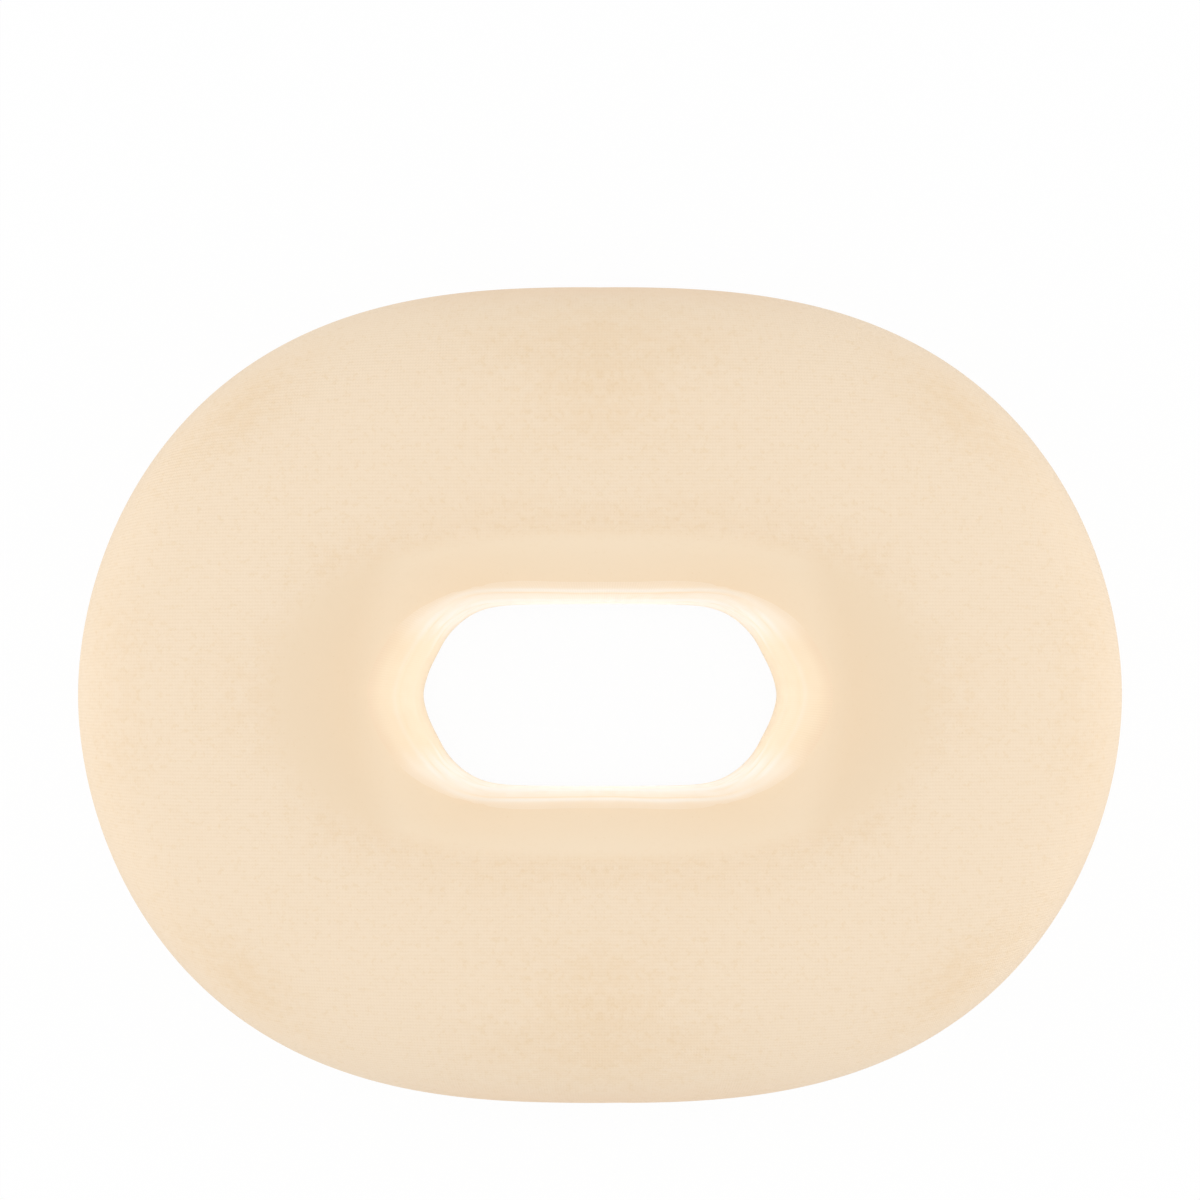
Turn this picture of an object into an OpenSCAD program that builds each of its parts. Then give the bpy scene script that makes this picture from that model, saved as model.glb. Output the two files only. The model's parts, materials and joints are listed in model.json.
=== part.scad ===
// Face cradle cushion: a closed oval foam ring with a long face hole, in a removable
// knitted cover whose base opens all the way round on a circular coil zip.
// Millimetres, +Z up. The origin is on the resting surface under the middle of the hole.
// X runs along the ring's long side and +Y points to its back.

/* [Ring] */
// Overall length of the cushion along X
ring_l = 360; // [310:1:440]
// Overall width of the cushion along Y
ring_w = 281; // [234:1:338]
// Height of the crest above the resting surface
ring_h = 80; // [66:1:100]
// Height of the widest line above the resting surface
wide_h = 34; // [26:1:42]
// How far the side tucks in from the widest line to the flat base
side_tuck = 14; // [9:1:17]
// Roundness of the outline towards its two ends
ring_end_round = 2.8; // [2:0.1:3.5]
// Roundness of the outline towards its two long sides
ring_side_round = 1.9; // [1.7:0.1:2.4]
// Fullness of the crown between its crest and the widest line
crown_round = 2.6; // [2:0.1:3.4]

/* [Face hole] */
// Length of the face hole along X at its narrowest
hole_l = 125; // [104:1:150]
// Width of the face hole along Y at its narrowest
hole_w = 65; // [54:1:80]
// Roundness of the hole's outline towards its two ends
hole_end_round = 4.5; // [2.5:0.1:5]
// Roundness of the hole's outline towards its two long sides
hole_side_round = 1.7; // [1.5:0.1:2.2]
// How steeply the hole wall rises at the two ends of the hole
wall_end_round = 2; // [1.8:0.1:3]
// How steeply the hole wall rises along the hole's long sides
wall_side_round = 3.5; // [2.5:0.1:4.5]
// Radius of the hole wall's foot, where it turns into the base
foot_r = 4; // [3:0.5:6]

/* [Foam] */
// Height of the glue line between the firm layer and the comfort layer
glue_h = 46; // [40:1:56]
// Thickness of the stockinette liner
liner_t = 0.5; // [0.4:0.1:0.8]

/* [Cover] */
// Thickness of the knitted cover and of the base fabric
cover_t = 1.2; // [0.8:0.1:1.4]
// Height of the seam between the crown and the sleeve that lines the hole
sleeve_h = 52; // [30:1:56]
// Width of the binding that is sewn over each base seam
binding_w = 8; // [6:0.5:9]
// Thickness of that binding
binding_t = 0.9; // [0.6:0.1:1]

/* [Loop strips] */
// Length of the strips at the left and right ends
end_strip_l = 100; // [70:1:110]
// Width of the strips at the left and right ends
end_strip_w = 25; // [20:1:30]
// Length of the strips in front of the hole and behind it
side_strip_l = 70; // [50:1:76]
// Width of the strips in front of the hole and behind it
side_strip_w = 20; // [16:1:22]
// Thickness of the strips, backing and pile
strip_t = 2.4; // [1.8:0.1:3]
// Radius of the strips' corners
strip_corner_r = 4; // [2:0.5:6]

/* [Zip] */
// Clearance between the slider's bridge and the resting surface
slider_lift = 1; // [0.8:0.1:2]
// Thickness of the zip tape
tape_t = 0.6; // [0.4:0.1:0.8]
// Width of one half of the zip, from its middle line to the tape's outer edge
tape_w = 11; // [9:0.5:12]
// Width of one coil, from the zip's middle line
coil_w = 2.9; // [2.5:0.1:3.2]
// Thickness of the coils
coil_t = 2.2; // [1.8:0.1:2.4]
// Length of the slider
slider_l = 11; // [9:0.5:12]
// Width of each guide flange along the slider's edges
flange_w = 0.5; // [0.4:0.1:0.8]
// Length of the pull tab from its hinge
pull_l = 24; // [16:1:30]
// Width of the pull tab
pull_w = 7; // [6:0.5:8]

/* [Hidden] */
$fn = 48;

// Clearances: between layers of fabric, between the zip and soft pieces, and between metal faces
layer_gap = 0.2;
soft_gap = 0.4;
metal_gap = 0.1;

// The base fabric lies on the loop strips, and the foam begins above the fabric and the liner
base_z = strip_t;
foot_z = base_z + foot_r;
liner_out = cover_t + layer_gap;
liner_in = liner_out + liner_t;
foam_in = liner_in + layer_gap;

// Rays that the ring's cross-sections are taken along, and the steps along each stretch of one
rays = 48;
side_steps = 4;
crown_steps = 6;
wall_steps = 5;
foot_steps = 2;
function ray_a(i) = 360 * i / rays;

// Distance from the middle to an outline |x/hx|^px + |y/hy|^py = 1 along a ray
function outline_sum(r, a, half, round) =
    pow(abs(r * cos(a)) / half[0], round[0]) + pow(abs(r * sin(a)) / half[1], round[1]);
function outline_r(a, half, round, low = 0, high = 300, tries = 30) =
    let (mid = (low + high) / 2)
    tries == 0 ? mid
    : outline_sum(mid, a, half, round) > 1 ? outline_r(a, half, round, low, mid, tries - 1)
    : outline_r(a, half, round, mid, high, tries - 1);

outer_r = [for (i = [0:rays - 1])
    outline_r(ray_a(i), [ring_l, ring_w] / 2, [ring_end_round, ring_side_round])];
hole_r = [for (i = [0:rays - 1])
    outline_r(ray_a(i), [hole_l, hole_w] / 2, [hole_end_round, hole_side_round])];
crest_r = (outer_r + hole_r) / 2;
wall_round = [for (i = [0:rays - 1])
    wall_end_round + (wall_side_round - wall_end_round) * pow(sin(ray_a(i)), 2)];

// Slider: plates below and above the tape, a post between the coils and a bridge for the pull
plate_in = coil_t / 2 + 0.3;
plate_t = 1;
plate_out = plate_in + plate_t;
coil_half_gap = 0.7;
post_w = 2 * (coil_half_gap - 0.2);
flange_h = plate_in - tape_t / 2 - 0.3;
flange_x = coil_w + 0.4;
tail_half_w = flange_x + flange_w;
shoulder_half_w = tail_half_w + 0.5;
pull_t = 1;
tunnel_h = pull_t + 2 * metal_gap;
bridge_t = 0.8;
bridge_w = 1.6;
bridge_l = slider_l - 3.8;
bridge_leg = 1;
hinge_y = -(bridge_l / 2 - bridge_leg - pull_t / 2 - metal_gap);
hinge_z = -(plate_out + tunnel_h / 2);
window_w = bridge_w + 0.6;
window_l = bridge_l / 2 - hinge_y + 1.2;

// Height of the middle of the tape: the slider hangs below it and clears the resting surface
tape_h = slider_lift + bridge_t + tunnel_h + plate_out;

// The circular zip runs midway between the ends of the hole and the nearest edge of the base.
// The base fabric rises from its flat level to a ledge that is sewn under the tape.
zip_r = (hole_l / 2 + foot_r + ring_w / 2 - side_tuck) / 2;
ledge_z = tape_h - tape_t / 2 - cover_t;
ledge_in = shoulder_half_w + 0.7;
well_w = tape_w + 5.5;

// Places along the zip in millimetres of its circle, from the join at the cushion's back
join_a = 90;
zip_l = 2 * PI * zip_r;
tape_end = 1.5;
box_l = 5.5;
box_w = 3.4;
box_t = 3.4;
pin_l = 5;
pin_in_box = 4;
pin_t = 1.8;
stop_l = 1.5;
stop_at = zip_l - tape_end - 3 - stop_l;
chain_start = tape_end + box_l + pin_l;
chain_end = stop_at - 0.2;
slider_at = stop_at - 0.4 - slider_l / 2;
function zip_a(s) = join_a + 360 * s / zip_l;

// ---- Shapes shared by the sub-parts ----

// Points of the cushion's cross-section on ray i, [radius, height], set in from the cover's
// outer face by d. q turns from one end of each stretch to the other.
function side_pt(i, d, q) =
    [outer_r[i] - side_tuck + (side_tuck - d) * cos(q), wide_h + (wide_h - base_z - d) * sin(q)];
function crown_pt(i, d, q) =
    [crest_r[i] + (outer_r[i] - d - crest_r[i]) * pow(cos(q), 2 / crown_round),
     wide_h + (ring_h - d - wide_h) * pow(sin(q), 2 / crown_round)];
function wall_pt(i, d, q) =
    [crest_r[i] - (crest_r[i] - hole_r[i] - d) * pow(cos(q), 2 / wall_round[i]),
     foot_z + (ring_h - d - foot_z) * pow(sin(q), 2 / wall_round[i])];
function foot_pt(i, d, q) =
    [hole_r[i] + foot_r - (foot_r - d) * cos(q), foot_z - (foot_r - d) * sin(q)];

// The q at which the crown, or the hole wall, passes through height z
function crown_q(d, z) = asin(pow((z - wide_h) / (ring_h - d - wide_h), crown_round / 2));
function wall_q(i, d, z) = asin(pow((z - foot_z) / (ring_h - d - foot_z), wall_round[i] / 2));

// Values from a to b in n equal steps, both ends included
function span(a, b, n) = [for (k = [0:n]) a + (b - a) * k / n];
function reversed(list) = [for (k = [len(list) - 1:-1:0]) list[k]];
function after_first(list) = [for (k = [1:len(list) - 1]) list[k]];

// Every layer bends at the same heights, so that the flats of one never cut into the next
levels = glue_h == sleeve_h ? [glue_h] : [min(glue_h, sleeve_h), max(glue_h, sleeve_h)];
function crown_qs(d) = let (glue = crown_q(d, glue_h))
    concat(span(0, glue, 3), after_first(span(glue, 90, crown_steps)));
function wall_qs(i, d) = let (qs = [for (z = reversed(levels)) wall_q(i, d, z)])
    concat(span(90, qs[0], wall_steps), after_first(qs), after_first(span(qs[len(qs) - 1], 0, 4)));

// Stretches of the cross-section, each running anticlockwise: the side, the crown and the
// hole wall between two heights, and the wall's foot
function between(points, z0, z1) = [for (p = points) if (p[1] > z0 - 0.001 && p[1] < z1 + 0.001) p];
function side_run(i, d) = [for (q = span(-90, 0, side_steps)) side_pt(i, d, q)];
function crown_run(i, d, z0 = 0, z1 = ring_h) =
    between([for (q = after_first(crown_qs(d))) crown_pt(i, d, q)], z0, z1);
function wall_run(i, d, z0 = 0, z1 = ring_h) =
    between([for (q = wall_qs(i, d)) wall_pt(i, d, q)], z0, z1);
function foot_run(i, d) = [for (q = after_first(span(0, 90, foot_steps))) foot_pt(i, d, q)];

// A closed ring: sections[i] is the cross-section on ray i, [radius, height], anticlockwise.
// From point back_at on, the section runs back, and its faces are split along the other
// diagonal, so that two layers that face each other are split alike.
module ring_solid(sections, back_at = 1000) {
    m = len(sections[0]);
    points = [for (i = [0:rays - 1]) for (p = sections[i])
        [p[0] * cos(ray_a(i)), p[0] * sin(ray_a(i)), p[1]]];
    faces = [for (i = [0:rays - 1]) for (j = [0:m - 1])
        let (i2 = (i + 1) % rays, j2 = (j + 1) % m,
            a = i * m + j, b = i * m + j2, c = i2 * m + j2, d = i2 * m + j)
        each j < back_at ? [[a, b, c], [a, c, d]] : [[a, b, d], [b, c, d]]];
    polyhedron(points = points, faces = faces);
}

// A fabric ring between an outer face and an inner face that is listed the same way round
module fabric_ring(outer, inner) {
    ring_solid([for (i = [0:rays - 1]) concat(outer[i], reversed(inner[i]))], len(outer[0]));
}

// Part of a turn about Z, at the zip's radius: r0 to r1 either side of its middle line,
// z0 to z1 from the middle of the tape, s0 to s1 along it
module zip_arc(r0, r1, z0, z1, s0, s1) {
    rotate([0, 0, zip_a(s0)])
        rotate_extrude(angle = zip_a(s1) - zip_a(s0))
            polygon([[zip_r + r0, tape_h + z0], [zip_r + r1, tape_h + z0],
                     [zip_r + r1, tape_h + z1], [zip_r + r0, tape_h + z1]]);
}

// Children drawn at the slider: local X points outwards, local Y along the zip to its top stops
module at_slider() {
    rotate([0, 0, zip_a(slider_at)])
        translate([zip_r, 0, tape_h])
            children();
}

// A box that is centred along X, from y0 to y1 and z0 to z1
module bar(w, y0, y1, z0, z1) {
    translate([-w / 2, y0, z0])
        cube([w, y1 - y0, z1 - z0]);
}

// ---- Foam ----

module foam_support_layer() {
    well = [[-well_w, base_z + foam_in],
            [-tape_w - soft_gap, tape_h + tape_t / 2 + soft_gap],
            [-ledge_in, tape_h + plate_out + 2 * soft_gap],
            [ledge_in, tape_h + plate_out + 2 * soft_gap],
            [tape_w + soft_gap, tape_h + tape_t / 2 + soft_gap],
            [well_w, base_z + foam_in]];
    color("khaki")
        ring_solid([for (i = [0:rays - 1]) concat(
            side_run(i, foam_in),
            crown_run(i, foam_in, 0, glue_h),
            wall_run(i, foam_in, 0, glue_h),
            foot_run(i, foam_in),
            [for (p = well) [zip_r + p[0], p[1]]])]);
}

module foam_comfort_layer() {
    color("lemonchiffon")
        ring_solid([for (i = [0:rays - 1]) concat(
            crown_run(i, foam_in, glue_h),
            after_first(wall_run(i, foam_in, glue_h)))]);
}

function liner_face(i, d) = concat(
    [[zip_r + well_w, base_z + d]],
    side_run(i, d),
    crown_run(i, d),
    after_first(wall_run(i, d)),
    foot_run(i, d),
    [[zip_r - well_w, base_z + d]]);

module foam_liner() {
    color("white")
        fabric_ring([for (i = [0:rays - 1]) liner_face(i, liner_out)],
                    [for (i = [0:rays - 1]) liner_face(i, liner_in)]);
}

// ---- Cover ----

function crown_face(i, d) = concat(
    side_run(i, d),
    crown_run(i, d),
    after_first(wall_run(i, d, sleeve_h)));

module cover_crown() {
    color([0.956, 0.874, 0.757])
        fabric_ring([for (i = [0:rays - 1]) crown_face(i, 0)],
                    [for (i = [0:rays - 1]) crown_face(i, cover_t)]);
}

function sleeve_face(i, d) = concat(
    wall_run(i, d, 0, sleeve_h),
    foot_run(i, d));

module hole_sleeve() {
    color([1, 0.93, 0.82])
        fabric_ring([for (i = [0:rays - 1]) sleeve_face(i, 0)],
                    [for (i = [0:rays - 1]) sleeve_face(i, cover_t)]);
}

// A flat base panel from its folded edge beside the zip to its seam: side is 1 outside the
// zip and -1 inside it, edge_r the radius of the seam on each ray
module base_panel(side, edge_r) {
    profile = [[ledge_in, ledge_z], [tape_w, ledge_z], [well_w, base_z]];
    function face(i, lift) = concat(
        [for (p = profile) [zip_r + side * p[0], p[1] + lift]],
        [[edge_r[i], base_z + lift]]);
    lower = [for (i = [0:rays - 1]) face(i, 0)];
    upper = [for (i = [0:rays - 1]) face(i, cover_t)];
    if (side > 0)
        fabric_ring(lower, upper);
    else
        fabric_ring([for (f = lower) reversed(f)], [for (f = upper) reversed(f)]);
}

module base_outer_panel() {
    color([0.93, 0.85, 0.73])
        base_panel(1, [for (r = outer_r) r - side_tuck - layer_gap]);
}

module base_inner_panel() {
    color([0.93, 0.85, 0.73])
        base_panel(-1, [for (r = hole_r) r + foot_r + layer_gap]);
}

// The bindings lie under the seams, and half of each one turns up onto the side or the foot
module outer_seam_binding() {
    half = binding_w / 2;
    rise = (wide_h - base_z) * (1 - sqrt(1 - pow(half / side_tuck, 2)));
    low = base_z - layer_gap - binding_t;
    color([0.88, 0.79, 0.66])
        ring_solid([for (r = outer_r) let (seam = r - side_tuck)
            [[seam - half, low], [seam, low], [seam + half, low + rise],
             [seam + half, low + rise + binding_t], [seam, low + binding_t],
             [seam - half, low + binding_t]]]);
}

module hole_seam_binding() {
    function upper(i) = concat([foot_pt(i, -layer_gap, 45)], [foot_pt(i, -layer_gap, 90)],
        [[hole_r[i] + foot_r + binding_w / 2, base_z - layer_gap]]);
    function lower(i) = concat([foot_pt(i, -layer_gap - binding_t, 45)],
        [foot_pt(i, -layer_gap - binding_t, 90)],
        [[hole_r[i] + foot_r + binding_w / 2, base_z - layer_gap - binding_t]]);
    color([0.88, 0.79, 0.66])
        fabric_ring([for (i = [0:rays - 1]) lower(i)], [for (i = [0:rays - 1]) upper(i)]);
}

// ---- Zip ----

module zip_tape_outer() {
    color("tan")
        zip_arc(coil_w, tape_w, -tape_t / 2, tape_t / 2, tape_end + box_l, zip_l - tape_end);
}

module zip_tape_inner() {
    color("tan")
        zip_arc(-tape_w, -coil_w, -tape_t / 2, tape_t / 2, tape_end + box_l, zip_l - tape_end);
}

module zip_coil_outer() {
    color("wheat")
        zip_arc(coil_half_gap, coil_w, -coil_t / 2, coil_t / 2, chain_start, chain_end);
}

module zip_coil_inner() {
    color("wheat")
        zip_arc(-coil_w, -coil_half_gap, -coil_t / 2, coil_t / 2, chain_start, chain_end);
}

// The box holds one pin of its own on the inner tape, and has a pocket for the insertion pin
module zip_retainer_box() {
    pocket = 0.2;
    color("burlywood") {
        difference() {
            zip_arc(-box_w, box_w, -box_t / 2, box_t / 2, tape_end, tape_end + box_l);
            zip_arc(coil_half_gap - pocket, coil_w + pocket, -pin_t / 2 - pocket,
                    pin_t / 2 + pocket, tape_end + box_l - pin_in_box, tape_end + box_l + 1);
        }
        zip_arc(-coil_w, -coil_half_gap, -pin_t / 2, pin_t / 2,
                tape_end + box_l - pin_in_box, chain_start);
    }
}

module zip_insertion_pin() {
    seat = 0.3;
    color("burlywood")
        zip_arc(coil_half_gap, coil_w, -pin_t / 2, pin_t / 2,
                tape_end + box_l - pin_in_box + seat, chain_start);
}

module zip_top_stops() {
    color("silver")
        for (side = [-1, 1])
            zip_arc(side > 0 ? coil_half_gap : -coil_w, side > 0 ? coil_w : -coil_half_gap,
                    -coil_t / 2 - 0.2, coil_t / 2 + 0.2, stop_at, stop_at + stop_l);
}

// One plate of the slider: its shoulder is at +Y, and its tail is a little narrower
module slider_plate(z0) {
    half_l = slider_l / 2;
    half_w = shoulder_half_w;
    corner = 1.2;
    translate([0, 0, z0])
        linear_extrude(plate_t)
            polygon([[-tail_half_w + corner, -half_l], [tail_half_w - corner, -half_l],
                     [tail_half_w, -half_l + corner], [half_w, 0], [half_w, half_l - 2 * corner],
                     [half_w - corner, half_l], [corner - half_w, half_l],
                     [-half_w, half_l - 2 * corner], [-half_w, 0],
                     [-tail_half_w, -half_l + corner]]);
}

module zip_slider() {
    flange_y0 = -slider_l / 2 + 1.5;
    flange_y1 = slider_l / 2 - 2.6;
    color("silver")
        at_slider() {
            slider_plate(-plate_out);
            slider_plate(plate_in);
            bar(post_w, slider_l / 2 - 3.5, slider_l / 2 - 0.5, -plate_in, plate_in);
            for (side = [-1, 1])
                for (z0 = [-plate_in, plate_in - flange_h])
                    translate([side * (flange_x + flange_w / 2), 0, 0])
                        bar(flange_w, flange_y0, flange_y1, z0, z0 + flange_h);
            for (side = [-1, 1])
                translate([0, side * (bridge_l - bridge_leg) / 2, 0])
                    bar(bridge_w, -bridge_leg / 2, bridge_leg / 2,
                        -plate_out - tunnel_h, -plate_out);
            bar(bridge_w, -bridge_l / 2, bridge_l / 2,
                -plate_out - tunnel_h - bridge_t, -plate_out - tunnel_h);
        }
}

// The pull lies back along the closed chain, and turns on the bar inside the slider's bridge
module zip_pull() {
    hole_r = 1.6;
    color("silver")
        at_slider()
            translate([0, hinge_y, hinge_z]) {
                rotate([0, 90, 0])
                    cylinder(h = pull_w, r = pull_t / 2, center = true);
                difference() {
                    translate([0, 0, -pull_t / 2])
                        linear_extrude(pull_t) {
                            translate([-pull_w / 2, pull_w / 2 - pull_l])
                                square([pull_w, pull_l - pull_w / 2]);
                            translate([0, pull_w / 2 - pull_l])
                                circle(r = pull_w / 2);
                        }
                    bar(window_w, -window_l, pull_t, -pull_t, pull_t);
                    translate([0, pull_w / 2 - pull_l, -pull_t])
                        cylinder(h = 2 * pull_t, r = hole_r);
                }
            }
}

// ---- Loop strips that hold the cushion on the cradle's platform ----

module loop_strip(l, w) {
    color("linen")
        linear_extrude(strip_t) {
            square([l - 2 * strip_corner_r, w], center = true);
            square([l, w - 2 * strip_corner_r], center = true);
            for (x = [-1, 1])
                for (y = [-1, 1])
                    translate([x * (l / 2 - strip_corner_r), y * (w / 2 - strip_corner_r)])
                        circle(r = strip_corner_r);
        }
}

end_strip_x = zip_r + well_w + 4 + end_strip_w / 2;
side_strip_y = (hole_w / 2 + foot_r + binding_w / 2 + zip_r - well_w) / 2;

module loop_strip_left() {
    translate([-end_strip_x, 0, 0])
        rotate([0, 0, 90])
            loop_strip(end_strip_l, end_strip_w);
}

module loop_strip_right() {
    translate([end_strip_x, 0, 0])
        rotate([0, 0, 90])
            loop_strip(end_strip_l, end_strip_w);
}

module loop_strip_front() {
    translate([0, -side_strip_y, 0])
        loop_strip(side_strip_l, side_strip_w);
}

module loop_strip_back() {
    translate([0, side_strip_y, 0])
        loop_strip(side_strip_l, side_strip_w);
}

foam_support_layer();
foam_comfort_layer();
foam_liner();
cover_crown();
hole_sleeve();
base_outer_panel();
base_inner_panel();
outer_seam_binding();
hole_seam_binding();
zip_tape_outer();
zip_tape_inner();
zip_coil_outer();
zip_coil_inner();
zip_retainer_box();
zip_insertion_pin();
zip_top_stops();
zip_slider();
zip_pull();
loop_strip_left();
loop_strip_right();
loop_strip_front();
loop_strip_back();
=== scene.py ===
"""Face cradle cushion: a closed oval foam ring in a knitted cover with a circular base zip,
seen from straight above. Sizes in the code are millimetres until a mesh is made."""
import json
import math

import bpy
import numpy as np
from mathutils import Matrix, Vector


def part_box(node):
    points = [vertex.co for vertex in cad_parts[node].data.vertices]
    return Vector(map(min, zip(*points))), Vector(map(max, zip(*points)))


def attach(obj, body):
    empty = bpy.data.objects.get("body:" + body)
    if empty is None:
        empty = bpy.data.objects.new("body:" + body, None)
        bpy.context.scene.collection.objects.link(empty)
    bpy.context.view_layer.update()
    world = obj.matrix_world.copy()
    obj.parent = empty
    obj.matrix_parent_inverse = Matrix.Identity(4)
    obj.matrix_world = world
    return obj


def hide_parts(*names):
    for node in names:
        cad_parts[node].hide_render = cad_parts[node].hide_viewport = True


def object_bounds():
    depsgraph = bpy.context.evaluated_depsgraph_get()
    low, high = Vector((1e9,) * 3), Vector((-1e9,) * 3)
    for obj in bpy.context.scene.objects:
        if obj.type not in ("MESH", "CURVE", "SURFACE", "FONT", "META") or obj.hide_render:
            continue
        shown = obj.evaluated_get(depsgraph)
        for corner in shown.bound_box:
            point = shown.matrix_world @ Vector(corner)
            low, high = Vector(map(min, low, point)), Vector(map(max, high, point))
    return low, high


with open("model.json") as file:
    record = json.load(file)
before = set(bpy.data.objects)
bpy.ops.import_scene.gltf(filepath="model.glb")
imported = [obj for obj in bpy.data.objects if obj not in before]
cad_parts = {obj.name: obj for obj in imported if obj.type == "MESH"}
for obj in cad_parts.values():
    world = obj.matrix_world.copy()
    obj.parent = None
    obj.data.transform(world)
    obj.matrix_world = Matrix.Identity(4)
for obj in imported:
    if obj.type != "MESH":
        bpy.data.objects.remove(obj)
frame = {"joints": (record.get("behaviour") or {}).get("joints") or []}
cad_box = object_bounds()
scene = bpy.context.scene
scene.view_settings.view_transform = "Standard"

MM = 0.001
TURN = 2 * math.pi


def box_mm(node):
    """A CAD node's lowest and highest corner, in millimetres."""
    return [np.array(corner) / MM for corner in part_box(node)]


# The cushion's driving sizes, as in the CAD source
RING_LOW, RING_HIGH = [np.array(corner) / MM for corner in cad_box]
RING_L, RING_W, RING_H = RING_HIGH - RING_LOW
RING_END_ROUND, RING_SIDE_ROUND, CROWN_ROUND = 2.8, 1.9, 2.6
HOLE_L, HOLE_W = 125, 65
HOLE_END_ROUND, HOLE_SIDE_ROUND = 4.5, 1.7
WALL_END_ROUND, WALL_SIDE_ROUND = 2.0, 3.5
WIDE_H, SIDE_TUCK, FOOT_R = 34, 14, 4
GLUE_H, SLEEVE_H = 46, 52
COVER_T, LINER_T, LAYER_GAP = 1.2, 0.5, 0.2
BINDING_W, BINDING_T = 8, 0.9
TAPE_T, TAPE_W = 0.6, 11
COIL_W, COIL_T = 2.9, 2.2
SLIDER_L, PULL_L, PULL_W = 11, 24, 7
STRIP_CORNER = 4

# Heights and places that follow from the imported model
BASE_Z = box_mm("loop_strip_left")[1][2]
FOOT_Z = BASE_Z + FOOT_R
LINER_OUT = COVER_T + LAYER_GAP
LINER_IN = LINER_OUT + LINER_T
FOAM_IN = LINER_IN + LAYER_GAP
BINDING_Z = BASE_Z - LAYER_GAP - BINDING_T
BINDING_RISE = (WIDE_H - BASE_Z) * (1 - math.sqrt(1 - (BINDING_W / 2 / SIDE_TUCK) ** 2))
ZIP_R = box_mm("zip_tape_outer")[1][0] - TAPE_W
ZIP_LENGTH = TURN * ZIP_R
JOINTS = {joint["name"]: joint for joint in frame["joints"]}
TAPE_H = JOINTS["zip_slide"]["pos_m"][2] / MM
SLIDER_A = math.atan2(JOINTS["pull_swing"]["axis"][1], JOINTS["pull_swing"]["axis"][0])
LEDGE_Z = TAPE_H - TAPE_T / 2 - COVER_T
LEDGE_IN = 5.0
WELL_W = TAPE_W + 5.5
PLATE_IN = COIL_T / 2 + 0.3
PLATE_OUT = PLATE_IN + 1

# How the cushion is drawn apart from the CAD
SEAM_LIFT = 4.4        # how far the cover's seam is pulled up the wall, except at its corners
SEAM_SIDE_LIFT = 1.4   # how much further it is pulled up at the long sides
SEAM_LAP = 2.0         # how far the cover and the sleeve run past their seam, each under the other
# How far out the hole's edge is moved: distance, corner angle, and width in degrees
HOLE_EDGE = [(1.3, 36, 11), (-0.5, 14, 5), (0.5, 0, 5)]


# ---- The cushion's cross-sections ----

def hump(value, middle, width):
    """1 at the middle, falling smoothly to 0 on both sides."""
    return np.exp(-((value - middle) / width) ** 2)


def eased(share):
    """0 up to 0, 1 from 1 on and smooth between."""
    share = np.clip(share, 0, 1)
    return share * share * (3 - 2 * share)


def outline_r(angle, half, power):
    """Distance from the middle to |x/hx|^px + |y/hy|^py = 1 along each angle, as a column,
    found by halving the range that it lies in."""
    farthest, halvings = 300.0, 44
    low, high = np.zeros_like(angle), np.full_like(angle, farthest)
    for _ in range(halvings):
        middle = (low + high) / 2
        total = (np.abs(middle * np.cos(angle)) / half[0]) ** power[0]
        total = total + (np.abs(middle * np.sin(angle)) / half[1]) ** power[1]
        high = np.where(total > 1, middle, high)
        low = np.where(total > 1, low, middle)
    return low[:, None]


def bent(q, power):
    """cos and sin of q raised to 2/power, with q in radians."""
    return (np.clip(np.cos(q), 0, 1) ** (2 / power), np.clip(np.sin(q), 0, 1) ** (2 / power))


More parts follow.
